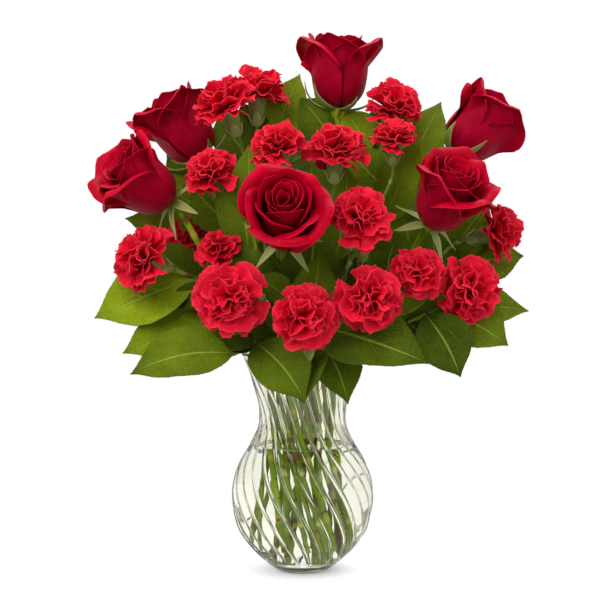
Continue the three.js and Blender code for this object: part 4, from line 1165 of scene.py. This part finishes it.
# %% Tree that sweeps stems
def stalk_tree():
    """Sweeps a circle along chains of points, and swells it where a knuckle is due."""
    sizes = {"Sides": ("Int", 10), "Spacing": ("Float", 0.04), "Swelling": ("Float", 0.2),
             "Length of swelling": ("Float", 0.002), "Finish": ("Material", None)}
    tree, given = new_tree("stalks", sizes)
    curve = add(tree, "GeometryNodeMeshToCurve", {"Mesh": given["Geometry"]}).outputs[0]
    length = add(tree, "GeometryNodeSplineParameter").outputs["Length"]
    curve = keep_mark(tree, curve, "along", length)
    spacing = given["Spacing"]
    phase = maths(tree, "ADD", length, maths(tree, "MULTIPLY", spacing, 0.4))
    off = maths(tree, "PINGPONG", phase, maths(tree, "MULTIPLY", spacing, 0.5))
    near = maths(tree, "DIVIDE", off, given["Length of swelling"])
    bell = maths(tree, "EXPONENT", maths(tree, "MULTIPLY", maths(tree, "POWER", near, 2), -1))
    curve = keep_mark(tree, curve, "knuckle", bell)
    circle = unit_circle(tree, given["Sides"])
    share = maths(tree, "DIVIDE", add(tree, "GeometryNodeInputIndex").outputs[0], given["Sides"])
    section = keep_mark(tree, circle, "across", share)
    swell = maths(tree, "MULTIPLY_ADD", mark_of(tree, "knuckle"), given["Swelling"], 1)
    scale = maths(tree, "MULTIPLY", mark_of(tree, "thick"), swell)
    inputs = {"Curve": curve, "Profile Curve": section, "Scale": scale, "Fill Caps": True}
    finish_tree(tree, add(tree, "GeometryNodeCurveToMesh", inputs).outputs[0], given["Finish"])
    return tree


STALKS = stalk_tree()
print("nodes that sweep stems:", len(STALKS.nodes))

# %% Stems in the vase
STALK_STEP = 2.2  # between the points of a stem
JOINTS = 8  # places along a stem where the CAD model lets leaves and side stems start
KNUCKLES = {
    # how far apart they are, by what share the stem swells there, and over what length
    "rose": (44, 0.14, 2.5), "spray": (38, 0.42, 1.6), "salal": (30, 0.2, 1.8),
}
RINGS_IN_VASE = {
    # radius at the neck, radius and height of the cut end, radius and height at the mouth
    "outer": (24.5, 33.5, 23, 33, 184),
    "inner": (11, 18, 13, 16, 190),
}
NECK_Z, STEM_LEAN, MOUTH_LEAN = 125, math.radians(70), math.radians(-14)
BUNDLES, BUNCHING = 3, 0.24  # the cut ends gather in bundles, with clear water between them


def vase_path(ring, slot, onwards):
    """A stem's path from its cut end in the vase, through the neck and the mouth, to its head."""
    neck, foot, foot_z, mouth, mouth_z = RINGS_IN_VASE[ring]
    angle = math.radians(slot)
    bunched = BUNCHING * math.sin(BUNDLES * (angle + STEM_LEAN))
    in_vase = [around(foot, angle + STEM_LEAN + bunched, foot_z), around(neck, angle, NECK_Z),
               around(mouth, angle + MOUTH_LEAN, mouth_z)]
    return smooth([*in_vase, *onwards])


def stalks(paths, finish, spacing, swelling, length, sides=10):
    """Stems of one finish, with knuckles. paths holds (points, radius at the start, radius at the end)."""
    lines = []
    for path, _, _ in paths:
        run = np.linalg.norm(np.diff(path, axis=0), axis=1).sum()
        lines.append(spaced(path, max(int(run / STALK_STEP), 4)))
    thick = [np.linspace(a, b, len(line)) * MM for line, (_, a, b) in zip(lines, paths)]
    inputs = {"Spacing": spacing * MM, "Swelling": swelling, "Length of swelling": length * MM}
    return outward(grow(STALKS, chains(lines, thick=thick), Finish=finish, Sides=sides, **inputs))


print("stems stand in the vase in", len(RINGS_IN_VASE), "rings")

# %% [markdown]
# ## Roses
# A rose is a spiral of petals. Each next petal stands 137.5 degrees further round and a little further
# in, so all of them overlap and none cross. The side view of a petal is a curve that leaves the hip
# almost level, rises, and rolls out at the rim. Writing that curve as its slope at each share of the
# length makes the five kinds of petal, from guard to heart, simple lists that can be blended.

# %% Side views of the petals
SIDE_VIEWS = {
    # rank, 0 for the outermost petal and 1 for the heart: radius and height from the hip to the rim
    0.0: [(4.5, 0), (15, 2.8), (22.5, 11), (25.3, 24), (26, 38), (28.3, 50), (32, 60)],
    0.24: [(4.2, 0), (12.5, 3.6), (18.8, 12.5), (21.3, 26), (21.8, 42), (23.5, 57)],
    0.45: [(3.4, 0), (10, 5), (15, 15), (17.2, 29), (17.2, 44), (17.5, 57)],
    0.7: [(2.6, 0), (8, 6), (11, 17), (12.4, 31), (12, 44), (12, 56)],
    1.0: [(1.5, 0), (3.5, 8), (5, 18), (5.5, 31), (5, 44), (4.5, 54)],
}
SHARES = np.linspace(0, 1, 25)


def side_view(points):
    """Length of a petal's side view, and its slope from upright at even shares of that length."""
    line = spaced(smooth([(r, 0, h) for r, h in points], 12), len(SHARES))
    steps = np.diff(line, axis=0)
    slopes = np.degrees(np.arctan2(steps[:, 0], steps[:, 2]))
    return [np.linalg.norm(steps, axis=1).sum(), points[0][0], *slopes, slopes[-1]]


SLOPES = {rank: side_view(points) for rank, points in SIDE_VIEWS.items()}
print("petal lengths:", [round(side[0]) for side in SLOPES.values()])

# %% How a petal changes from guard to heart
PETAL = {
    # each measure of a petal at a few ranks, from 0 for the outermost to 1 for the heart
    "half width": {0: 64, 0.3: 64, 0.6: 78, 1: 115},  # degrees to each side of its middle
    "lean": {0: 10, 0.2: 9, 0.34: 3, 0.5: 0, 1: 0},  # degrees outwards at the rim of an open rose
    "roll": {0: 105, 0.2: 85, 0.34: 40, 0.6: 24, 1: 14},  # degrees that the rim curls back
    "roll length": {0: 14, 0.25: 11, 0.5: 8, 1: 5},
    "middle roll": {0: 0.8, 0.3: 0.7, 0.6: 1, 1: 1},  # share of the roll at the middle of the rim
    "corner": {0: 0.34, 0.4: 0.24, 1: 0.14},  # share of the length that the corners lack
    "point": {0: 0.06, 0.3: 0.04, 0.6: 0.02, 1: 0.01},  # share of the length that the tip adds
    "flare": {0: 1.4, 0.3: 0.4, 0.5: 0.2, 1: 0},  # how far the sides stand out at the rim
    "spiral": {0: 0.012, 0.3: 0.02, 0.6: 0.06, 1: 0.25},  # share by which one side lies further out
    "drift": {0: 0.2, 0.3: 0.4, 0.5: 1.2, 1: 1.5},  # how far the whole rim may wander
}


def blend_of(table, rank):
    """A value, or a row of them, for a petal's rank."""
    keys = sorted(table)
    values = np.array([table[key] for key in keys], float)
    if values.ndim == 1:
        return float(np.interp(rank, keys, values))
    return np.array([np.interp(rank, keys, values[:, k]) for k in range(values.shape[1])])


print("a petal's rim curls back by", [round(blend_of(PETAL["roll"], rank)) for rank in SLOPES], "degrees")

# %% One rose petal
ROSE_PETAL_THICKNESS = 0.42


def rose_petal(rank, opened, turn, chance, columns=21, rows=24):
    """A petal is drawn column by column: each is the side view, trimmed, rolled at its rim and waved."""
    length, root, *slopes = blend_of(SLOPES, rank)
    own = {name: blend_of(table, rank) for name, table in PETAL.items()}
    length *= chance.uniform(0.95, 1.03)
    half = math.radians(own["half width"]) * chance.uniform(0.92, 1.08)
    lean = opened * own["lean"] * chance.uniform(0.7, 1.2)
    roll = own["roll"] * chance.uniform(0.7, 1.25)
    roll_length = own["roll length"] * chance.uniform(0.8, 1.2)
    flare = own["flare"] * chance.uniform(0, 1.3)
    spiral = own["spiral"] * chance.uniform(0.5, 1.5)
    shift_x, shift_y = (chance.uniform(-own["drift"], own["drift"]) for _ in range(2))
    waves = [chance.uniform(0, ROUND) for _ in range(5)]
    grid = np.zeros((rows, columns, 3))
    shares = np.linspace(0, 1, rows) ** 0.8
    across = np.linspace(-1, 1, columns)
    for j, u in enumerate(across):
        side = abs(u)
        tip = own["point"] * math.exp(-((u / 0.16) ** 2)) - own["point"]
        reach = length * (1 - 0.07 * side**2 - own["corner"] * side**5 + tip)
        s = shares * reach
        slope = np.interp(s / length, SHARES, slopes) + lean * (s / length) ** 1.5
        start = reach - roll_length * (0.75 + 0.5 * side)
        rolled = np.clip((s - start) / (reach - start), 0, 1)
        more = (1.25 - own["middle roll"]) * side**1.3 + 0.18 * math.sin(3 * u + waves[0])
        curled = roll * (own["middle roll"] + more) * (1 - 0.9 * side**7)
        slope = np.radians(slope + curled * rolled**1.3)
        step = np.diff(s, prepend=0)
        late = (s / length) ** 2  # grows from the root to the rim
        out = (root + np.cumsum(np.sin(slope) * step)) * (1 + spiral * u)
        out += late * (0.5 * math.sin(3.1 * u + waves[1]) + flare * max(side - 0.5, 0) * 2)
        up = np.cumsum(np.cos(slope) * step)
        up += 1.6 * late * math.sin(2.4 * u + waves[2]) + 0.7 * late**2 * math.sin(7 * u + waves[3])
        angle = turn + u * half * (1 + 0.08 * late) + 0.05 * late * math.sin(4 * u + waves[4])
        x, y = out * np.cos(angle) + shift_x * late, out * np.sin(angle) + shift_y * late
        grid[:, j] = np.stack([x, y, up], axis=1)
    marks = {"along": shares[:, None], "across": across[None, ::-1]}
    return sheet(grid[:, ::-1], ROSE_PETAL_THICKNESS, ROSE_PETAL, **marks)


print("a rose petal is", ROSE_PETAL_THICKNESS, "mm thick")

# %% A rose head
ROSE_PETALS = 23


def rose_head(name, opened, upwards):
    """Petals from the outermost to the heart. The bud inside leans upwards, to the light."""
    chance = random.Random(name)
    turn = chance.uniform(0, ROUND)
    parts = []
    for i in range(ROSE_PETALS):
        rank = i / (ROSE_PETALS - 1)
        heading = turn + i * GOLDEN_ANGLE + chance.uniform(-0.12, 0.12)
        points, *rest = rose_petal(rank, opened, heading, chance)
        lean = 0.14 * opened * ease(rank, 0.1, 0.4)
        points[:, :2] += points[:, 2:] * np.array(upwards) * lean
        parts.append((points, *rest))
    return parts


print("petals of a rose:", ROSE_PETALS)

# %% Hip and sepals
# height and radius
HIP = [(-13, 2.7), (-11.5, 3.0), (-9.5, 4.2), (-7, 5.8), (-4.5, 6.6), (-2.2, 6.4), (-0.5, 5.2)]
SEPALS, SEPAL_THICKNESS = 5, 0.5


def rose_hip():
    """The swelling under the petals, with five faint ridges."""
    angles = all_round(24)
    rings = rings_up(HIP, angles, 1 + 0.03 * np.cos(angles * 5))
    shares = np.linspace(0, 0.05, len(HIP))[:, None]
    return wound(rings, ROSE_STEM, along=shares, across=angles[None, :] / ROUND, knuckle=0.0)


def sepal(heading, reflex, rise, chance):
    """A narrow pointed leaflet that curls back from under the petals, or rises along them."""
    hanging = np.array([(4, 0, -2.8), (10, 0, -3.8 - reflex * 2), (17, 0, -5 - reflex * 5),
                        (25, 0, -5.5 - reflex * 12), (31.5, 0, -5 - reflex * 18)])
    rising = np.array([(4, 0, -2.8), (13, 0, -1.2), (22.5, 0, 4.5), (28, 0, 14), (29.5, 0, 25)])
    spine = smooth(hanging + (rising - hanging) * rise, 4)
    along, across = np.linspace(0, 1, len(spine)), np.linspace(-1, 1, 7)
    width = np.interp(along, [0, 0.2, 0.45, 0.7, 0.88, 1], [2.4, 3.6, 3.4, 2, 0.9, 0.25])
    twist, fold = chance.uniform(-0.5, 0.5), np.array([0, 0, 0.45])
    grid = []
    for k, (middle, half) in enumerate(zip(spine, width)):
        tilt = twist * k / len(spine)
        sideways = np.array([0, math.cos(tilt), math.sin(tilt)])
        grid.append([middle + sideways * half * s + fold * half * s * s for s in across[::-1]])
    spun = np.array([around(1, heading, 0), around(1, heading + math.pi / 2, 0), (0, 0, 1)])
    return sheet(np.array(grid) @ spun, SEPAL_THICKNESS, SEPAL, along=along[:, None], across=across[None, :])


print("faces of a hip:", len(rose_hip()[1]))

# %% Roses in place
HALF_HEAD = 37  # from the middle of a head to its hip
SET_BACK = {"rose_top": 28, "rose_upper_right": 34}  # the same, where it is less
TURNED_OUT = {"rose_upper_right": (0.7, 0.2, 0.6)}  # a head that nods a little further than in the CAD model
RISING_SEPALS = {"rose_top": 0.9, "rose_upper_left": 0.9, "rose_upper_right": 1}  # the share that rises
BENT_STEMS = {"rose_left": [(-73, -40, 252), (-89, -44, 282)]}  # extra places that a stem passes


def rose(name, at, faces, opened, ring, slot):
    """A head of petals, and its stem with hip and sepals, as two pieces."""
    facing = unit(TURNED_OUT.get(name, faces))
    base = np.array(at) - SET_BACK.get(name, HALF_HEAD) * facing
    place = standing(base, facing)
    head = rose_head(name, opened, place[2, :2])
    piece(name + "_bloom", [moved(part, place) for part in head], name + "_petals")
    path = vase_path(ring, slot, [*BENT_STEMS.get(name, [base - HALF_HEAD * facing]), base - 6 * facing])
    parts = [stalks([(path, 2.3, 2.4)], ROSE_STEM, *KNUCKLES["rose"])]
    drawn, chance = seeded(name, 1), random.Random(name + "sepals")
    leaflets = []
    for i in range(SEPALS):
        heading = i / SEPALS * 2 * math.pi + next(drawn) * 0.4
        rise = RISING_SEPALS.get(name, 0.1) * chance.uniform(0.55, 1)
        leaflets.append(sepal(heading, 0.25 + 0.6 * next(drawn), rise, chance))
    parts += [moved(part, place) for part in [rose_hip(), *leaflets]]
    piece(name + "_stalk", parts, name + "_stem")


for row in ROSES:
    rose(*row)
print("petals of roses:", len(ROSES) * ROSE_PETALS)

# %% [markdown]
# ## Carnations
# A spray carnation is a tuft of thirty-odd crumpled, toothed petals that burst out of a narrow calyx.
# Three petals are modelled with few faces, and a tree plants them in a spiral: the outer ones lie
# almost level, the inner ones stand up, each turned and scaled a little differently, and a noise then
# crumples the whole head so that no two petals are alike.

# %% Three carnation petals
CARNATION_RADIUS = 26
PATTERNS = 3  # petals that differ, each planted many times
TOOTH, RUFFLE, PETAL_THICKNESS = 0.023, 0.085, 0.022  # shares of a petal's length


def petal_pattern(number):
    """A fan-shaped petal of unit length that grows up from the origin and leans back at its tip."""
    chance = random.Random(number + 40)
    phase, folds = chance.uniform(0, ROUND), chance.uniform(1.5, 2.6)
    shares, across = np.array([0, 0.35, 0.65, 0.88, 1]), np.linspace(-1, 1, 15)
    grid = np.zeros((len(shares), len(across), 3))
    for i, v in enumerate(shares):
        for j, u in enumerate(across):
            half = 0.06 + 0.56 * v**1.05
            tooth = (TOOTH if j % 2 else -TOOTH) * chance.uniform(0.6, 1.3) if v == 1 else 0
            ruffle = RUFFLE * v**1.5 * math.sin(folds * math.pi * u + phase)
            curl = 0.2 * v**2 + 0.08 * v * u * u
            rounding = 0.08 * u * u * v + 0.16 * v * abs(u) ** 5
            grid[i, j] = (u * half, ruffle - curl, v * (1 - rounding) + tooth)
    marks = {"along": shares[:, None], "across": across[None, :] + number * 3}
    points, faces, marks, _ = sheet(grid, PETAL_THICKNESS, None, **marks)
    mesh = bpy.data.meshes.new(f"petal {number}")
    mesh.from_pydata(points, [], faces)
    for key, values in marks.items():
        set_mark(mesh, key, values)
    return bpy.data.objects.new(f"petal {number}", mesh)


patterns = bpy.data.collections.new("petal patterns")
for number in range(PATTERNS):
    patterns.objects.link(petal_pattern(number))


# %% Planting petals in a whorl
def planted(tree, given):
    """Petals round a point, from nearly level ones outside to upright ones at the heart."""
    index = add(tree, "GeometryNodeInputIndex").outputs[0]
    share = maths(tree, "DIVIDE", index, maths(tree, "SUBTRACT", given["Petals"], 1))

    def chance(low, high, salt):
        """A random number for each petal. The salt keeps it apart from the others."""
        seed = maths(tree, "ADD", given["Seed"], salt)
        inputs = {2: low, 3: high, "Seed": seed}
        return add(tree, "FunctionNodeRandomValue", inputs, data_type="FLOAT").outputs[1]

    heading = maths(tree, "ADD", maths(tree, "MULTIPLY", index, GOLDEN_ANGLE), chance(-0.25, 0.25, 11))
    left = maths(tree, "SUBTRACT", 1, share)
    out = maths(tree, "MULTIPLY", given["Throat"], left)
    spot = add(tree, "ShaderNodeCombineXYZ", {
        0: maths(tree, "MULTIPLY", out, maths(tree, "SINE", heading)),
        1: maths(tree, "MULTIPLY", out, maths(tree, "MULTIPLY", maths(tree, "COSINE", heading), -1)),
        2: maths(tree, "MULTIPLY", share, 0.003)})
    points = add(tree, "GeometryNodePoints", {"Count": given["Petals"], "Position": spot.outputs[0]})
    fall = maths(tree, "POWER", left, 1.15)
    span = maths(tree, "SUBTRACT", given["Outer tilt"], given["Inner tilt"])
    tilt = maths(tree, "ADD", maths(tree, "MULTIPLY_ADD", fall, span, given["Inner tilt"]),
                 chance(-0.17, 0.17, 23))
    turned = add(tree, "ShaderNodeCombineXYZ", {0: tilt, 1: chance(-0.2, 0.2, 37), 2: heading})
    rotation = add(tree, "FunctionNodeEulerToRotation", {0: turned.outputs[0]})
    size = maths(tree, "MULTIPLY", given["Radius"], chance(0.68, 1.0, 41))
    size = maths(tree, "MULTIPLY", size, maths(tree, "MULTIPLY_ADD", share, -0.06, 1.0))
    kinds = add(tree, "GeometryNodeCollectionInfo", {
        "Collection": given["Patterns"], "Separate Children": True, "Reset Children": True})
    kind = maths(tree, "FLOOR", chance(0, PATTERNS - 0.001, 53))
    petals = add(tree, "GeometryNodeInstanceOnPoints", {
        "Points": keep_mark(tree, points.outputs[0], "inner", share), "Instance": kinds.outputs[0],
        "Pick Instance": True, "Instance Index": kind, "Rotation": rotation.outputs[0], "Scale": size})
    return add(tree, "GeometryNodeRealizeInstances", {"Geometry": petals.outputs[0]}).outputs[0]


# %% Crumpling the head
def crumpled(tree, given, petals):
    """Pushes the petals about by a noise, most at their rims and in the heart."""
    where = add(tree, "GeometryNodeInputPosition").outputs[0]
    other = maths(tree, "MULTIPLY", given["Seed"], 1.7)  # another slice of the noise for each head
    inputs = {"Vector": where, "W": other, "Scale": 110.0, "Detail": 1.0}
    noise = add(tree, "ShaderNodeTexNoise", inputs, noise_dimensions="4D").outputs["Color"]
    centred = add(tree, "ShaderNodeVectorMath", {0: noise, 1: (0.5, 0.5, 0.5)}, operation="SUBTRACT")
    late = maths(tree, "POWER", mark_of(tree, "along"), 1.5)
    late = maths(tree, "MULTIPLY", late, maths(tree, "MULTIPLY_ADD", mark_of(tree, "inner"), 0.9, 0.6))
    much = maths(tree, "MULTIPLY", maths(tree, "MULTIPLY", given["Crumple"], 2), late)
    push = add(tree, "ShaderNodeVectorMath", {0: centred.outputs[0], "Scale": much}, operation="SCALE")
    return add(tree, "GeometryNodeSetPosition", {"Geometry": petals, "Offset": push.outputs[0]}).outputs[0]


# %% Tree that grows a whorl of petals
def whorl_tree():
    """A head of petals. All its lengths are in metres, and its tilts in radians from upright."""
    sizes = {"Petals": ("Int", 36), "Radius": ("Float", CARNATION_RADIUS * MM), "Throat": ("Float", 0.0032),
             "Outer tilt": ("Float", 1.36), "Inner tilt": ("Float", 0.1), "Crumple": ("Float", 0.0042),
             "Seed": ("Int", 0), "Patterns": ("Collection", None), "Finish": ("Material", None)}
    tree, given = new_tree("petal whorl", sizes)
    finish_tree(tree, crumpled(tree, given, planted(tree, given)), given["Finish"])
    return tree


WHORL = whorl_tree()
print("nodes that grow a head:", len(WHORL.nodes))


# %% A carnation head
def carnation_head(key, size):
    """A head of petals, upright, from the mouth of its calyx at the origin."""
    chance = random.Random(key)
    blank = bpy.data.meshes.new("blank")
    petals = int(25 + 11 * size)
    points, *rest = grow(WHORL, blank, Petals=petals, Radius=CARNATION_RADIUS * size * MM,
                         Seed=chance.randrange(1000), Patterns=patterns, Finish=CARNATION_PETAL)
    bpy.data.meshes.remove(blank)
    return points + np.array([0, 0, 0.6]), *rest


# %% Calyx and bracts
CUP = [(-21, 1.6), (-20, 3.2), (-18, 4.4), (-14, 5.6), (-9, 6.6), (-4, 7.3), (-1, 7.6)]  # height, radius
CUP_RIM = [(7.9, 0), (7.4, 0.15), (5.6, 3)]  # radius, and how far below the teeth: over the rim and in
TEETH, TOOTH_RISE = 5, 3.4
BRACTS = 4  # small scales that clasp the foot of the cup, two of them longer
BRACT = [(2.65, -21.4, 0.8), (4.95, -18.5, 0.7), (6.35, -14.5, 0.45), (7.35, -11.5, 0.05)]
LONGER_BRACT = 1.5
THIN_LEAF = 0.45


def calyx(scale):
    """A narrow cup with teeth, and its bracts, whose rows give radius, height and radians to each side."""
    angles = all_round(40)
    tooth = np.abs(np.mod(angles / (2 * math.pi) * TEETH + 0.5, 1) - 0.5) * 2  # 0 on a tooth, 1 between
    top = -0.5 + TOOTH_RISE * (1 - tooth) ** 0.8
    rings = [*rings_up(CUP, angles)]
    for radius, drop in CUP_RIM:
        rings.append([around(radius, a, t - drop) for a, t in zip(angles, top)])
    shares = np.linspace(0, 1, len(rings))[:, None]
    parts = [wound(np.array(rings) * scale, CALYX, along=shares, across=angles[None, :] / ROUND)]
    along, across = np.linspace(0, 1, len(BRACT)), np.linspace(-1, 1, 7)
    for i in range(BRACTS):
        heading, longer = i / BRACTS * 2 * math.pi, i % 2 * LONGER_BRACT
        grid = np.array([[around(r, heading + s * half, z + longer * bool(k)) for s in across]
                         for k, (r, z, half) in enumerate(BRACT)])
        parts.append(sheet(grid * scale, THIN_LEAF, SEPAL, along=along[:, None], across=across[None, :]))
    return parts


print("faces of a cup and its bracts:", sum(len(part[1]) for part in calyx(1)))

# %% Buds and narrow leaves
BUD = [(-13, 1.0), (-12, 2.6), (-10, 3.9), (-7, 4.6), (-3, 4.8), (0, 4.3), (3, 3.2), (5.5, 1.7), (6.8, 0.6)]


def bud():
    """A closed bud: a calyx drawn in to a point, with five seams."""
    angles = all_round(30)
    rings = rings_up(BUD, angles, 1 - 0.06 * np.cos(angles * 5) ** 8)
    return wound(rings, CALYX, along=np.linspace(0, 1, len(BUD))[:, None], across=angles[None, :] / ROUND)


def blade(root, direction, length, width, chance):
    """A narrow leaf of a carnation, which stands away from a knuckle and curls down."""
    direction = unit(direction)
    side = unit(np.cross(direction, (0.1, 0.05, 1)))
    up = np.cross(side, direction)
    along, across = np.linspace(0, 1, 9), np.linspace(-1, 1, 5)
    halves = width / 2 * np.interp(along, [0, 0.15, 0.5, 1], [0.7, 1, 0.8, 0.08])
    curl = chance.uniform(0.1, 0.5)
    grid = []
    for t, half in zip(along, halves):
        middle = root + direction * length * t - up * curl * length * t * t
        grid.append([middle + side * half * s + up * 0.3 * half * s * s for s in across[::-1]])
    return sheet(np.array(grid), THIN_LEAF, SEPAL, along=along[:, None], across=across[None, :])


print("faces of a bud:", len(bud()[1]))

# %% Where a stem meets its flower
STRAIGHT_END = 14  # a stem runs straight into its flower for this long
INTO_CUP, INTO_BUD = 16, 12  # and ends this far below the mouth of a cup, or the middle of a bud


def flower_place(at, faces, size):
    """The scale of a calyx, two places that its stem passes, and where the flower stands."""
    scale = 0.55 + 0.45 * size
    facing = unit(faces)
    mouth = np.array(at) - CARNATION_RADIUS * size / 2 * facing
    end = mouth - INTO_CUP * scale * facing
    return scale, end - STRAIGHT_END * facing, end, standing(mouth, facing)


small, large = (flower_place((0, 0, 0), (0, 0, 1), size)[0] for size in (0.66, 1.06))
print("the calyxes are scaled from", round(small, 2), "to", round(large, 2))

# %% Sprays
MAIN_STEM, SIDE_STEM, BUD_STEM = (1.55, 1.7), (1.35, 1.3), (1.05, 1.0)  # radii at the start and the end


def spray(name, ring, slot, fork, flowers, buds):
    """One green piece with the forking stem, calyces and buds, and a piece for each flower."""
    places = [flower_place(at, faces, size) for _, at, faces, size in flowers]
    path = vase_path(ring, slot, [fork, places[0][1], places[0][2]])
    joints = spaced(path, JOINTS)
    start = joints[np.argmin(np.linalg.norm(joints - np.array(fork), axis=1))]
    start = path[np.argmin(np.linalg.norm(path - start, axis=1))]
    paths = [(path, *MAIN_STEM)]
    for _, lead, end, _ in places[1:]:
        paths.append((smooth([start, lead, end]), *SIDE_STEM))
    chance = random.Random(name)
    parts = []
    for at, faces in buds:
        facing = unit(faces)
        end = np.array(at) - INTO_BUD * facing
        paths.append((smooth([start, end - STRAIGHT_END * facing, end]), *BUD_STEM))
        parts.append(moved(bud(), standing(at, facing)))
    parts.append(stalks(paths, SPRAY_STEM, *KNUCKLES["spray"]))
    for scale, _, _, place in places:
        parts += [moved(part, place) for part in calyx(scale)]
    along = unit(path[-1] - path[0])
    for way in (1, -1):
        across = unit(np.cross(along, (way, 0.4 * way, 0.2)))
        parts.append(blade(start, along * 0.9 + across * 0.7, chance.uniform(20, 30), 3.6, chance))
    piece(name + "_stalk", parts, name + "_stem")
    for (letter, _, _, size), (_, _, _, place) in zip(flowers, places):
        head = moved(carnation_head(name + letter, size), place)
        piece(f"{name}_bloom_{letter}", [head], f"{name}_flower_{letter}")


for row in SPRAYS:
    spray(*row)
for pattern in list(patterns.objects):
    bpy.data.objects.remove(pattern)
bpy.data.collections.remove(patterns)
print("sprays grown:", len(SPRAYS))

# %% [markdown]
# ## Salal leaves
# A salal leaf is a broad oval with a drawn-out tip, folded a little along its midrib, arched, waved at
# the edge and finely toothed. It is made as a grid of points between its root on the stem and its tip,
# and the grid's own shares along and across give the finish its veins.

# %% One leaf
LEAF_OUTLINE = [
    # share of the length from the root, and share of the width
    (0, 0.02), (0.04, 0.14), (0.09, 0.4), (0.17, 0.67), (0.28, 0.89), (0.4, 0.99), (0.54, 1), (0.68, 0.88),
    (0.8, 0.6), (0.9, 0.26), (0.96, 0.08), (1, 0.01)]
LEAF_THICKNESS, LEAF_TOOTH, LEAF_WAVE = 0.6, 0.3, 1.5
ARCH, FOLD = 0.1, 0.24  # how high a leaf arches in its length, and how far its sides fold up
LEAF_ROWS, LEAF_COLUMNS = 44, 13
LEAF_STALK = (1.1, 0.5)  # radii, where it leaves the stem and where it ends in the midrib


def leaf(root, tip, wide, faces, tone, chance):
    """A leaf, and the path and radii of the stalk that runs into its midrib."""
    onwards = np.array(tip, float) - root
    length = np.linalg.norm(onwards)
    onwards /= length
    face = np.array(faces, float)
    face = unit(face - face.dot(onwards) * onwards)
    side = np.cross(face, onwards)
    shares, across = np.linspace(0, 1, LEAF_ROWS), np.linspace(1, -1, LEAF_COLUMNS)
    halves = np.interp(shares, *zip(*LEAF_OUTLINE)) * wide / 2
    phase, waves = chance.uniform(0, ROUND), chance.uniform(1.2, 2.2)
    bend = chance.uniform(-0.05, 0.05)
    grid = np.zeros((LEAF_ROWS, LEAF_COLUMNS, 3))
    for i, (share, half) in enumerate(zip(shares, halves)):
        middle = root + onwards * length * share + face * ARCH * length * 4 * share * (1 - share)
        middle += side * bend * length * math.sin(math.pi * share)
        toothed = i % 2 and 0.1 < share < 0.97
        for j, s in enumerate(across):
            reach = half + (LEAF_TOOTH if toothed and abs(s) == 1 else 0)
            wave = LEAF_WAVE * s * s * math.sin(waves * ROUND * share + phase + s) * half / 20
            grid[i, j] = middle + side * s * reach + face * (reach * FOLD * abs(s) ** 1.3 + wave)
    # the brightness mark is partly the leaf's own green and partly painted shade
    marks = {"along": shares[:, None], "across": across[None, :], "tone": tone}
    stalk = [root + onwards * length * t + face * (ARCH * length * 4 * t * (1 - t) - LEAF_THICKNESS)
             for t in (0, 0.04, 0.09, 0.16)]
    return sheet(grid, LEAF_THICKNESS, SALAL_LEAF, **marks), (np.array(stalk), *LEAF_STALK)


print("points on each side of a leaf:", LEAF_ROWS * LEAF_COLUMNS)

# %% Leafy stems
LEAF_SPREAD = 1.12  # the soft edge of a leaf goes a little further than its CAD solid
SALAL_RADII, TWIG_RADII = (1.5, 1.6), (1.2, 1.0)
TWIG_START = 6  # a twig leaves the stem this many points below the place nearest to its leaf


def leafy_stem(name, ring, slot, through, leaves):
    """One piece with a stem, the leaves that the CAD model has on it, and its smaller inner ones."""
    chance = random.Random(name)
    path = vase_path(ring, slot, through)
    joints = spaced(path, JOINTS)
    parts, paths = [], [(path, *SALAL_RADII)]
    above = path[len(path) // 2:]
    for number, (on, tip, wide, faces, tone) in enumerate(leaves):
        place = min(on, 0.99) * (JOINTS - 1)
        whole = min(int(place), JOINTS - 2)
        joint = joints[whole] + (joints[whole + 1] - joints[whole]) * (place - whole)
        joint = path[np.argmin(np.linalg.norm(path - joint, axis=1))]
        root = np.array(TWIG_ENDS.get((name, number), joint), float)
        made, stalk = leaf(root, tip, wide * LEAF_SPREAD, faces, tone, chance)
        parts.append(made)
        paths.append(stalk)
        if (name, number) in TWIG_ENDS:
            middle = (joint + root) / 2 - np.array([0, 0, 2])
            paths.append((smooth([joint, middle, root]), *TWIG_RADII))
    for root, tip, wide, faces, tone in INNER_LEAVES.get(name, []):
        joint = above[max(np.argmin(np.linalg.norm(above - root, axis=1)) - TWIG_START, 0)]
        made, stalk = leaf(np.array(root, float), tip, wide, faces, tone, chance)
        parts.append(made)
        middle = (joint + root) / 2 + np.array([0, 0, 3])
        paths += [stalk, (smooth([joint, middle, root]), *TWIG_RADII)]
    parts.append(stalks(paths, LEAFY_STEM, *KNUCKLES["salal"], sides=8))
    piece(name + "_foliage", parts, name)


for row in LEAFY:
    leafy_stem(*row)
print("leafy stems grown:", len(LEAFY))

# %% [markdown]
# ## The check at the end
# The dressed object has to stay in the CAD model's box, give or take the small amount that soft petals
# may stand proud, so both boxes are written down and compared.

# %% Sizes
visual_box = [[float(x) for x in corner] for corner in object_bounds()]
for cad_corner, visual_corner in zip(cad_box, visual_box):
    print("from the CAD box:", [round((v - c) / MM, 1) for c, v in zip(cad_corner, visual_corner)], "mm")
seen = [made for made in bpy.context.scene.objects if made.type == "MESH" and not made.hide_render]
print("triangles:", sum(len(face.vertices) - 2 for made in seen for face in made.data.polygons))
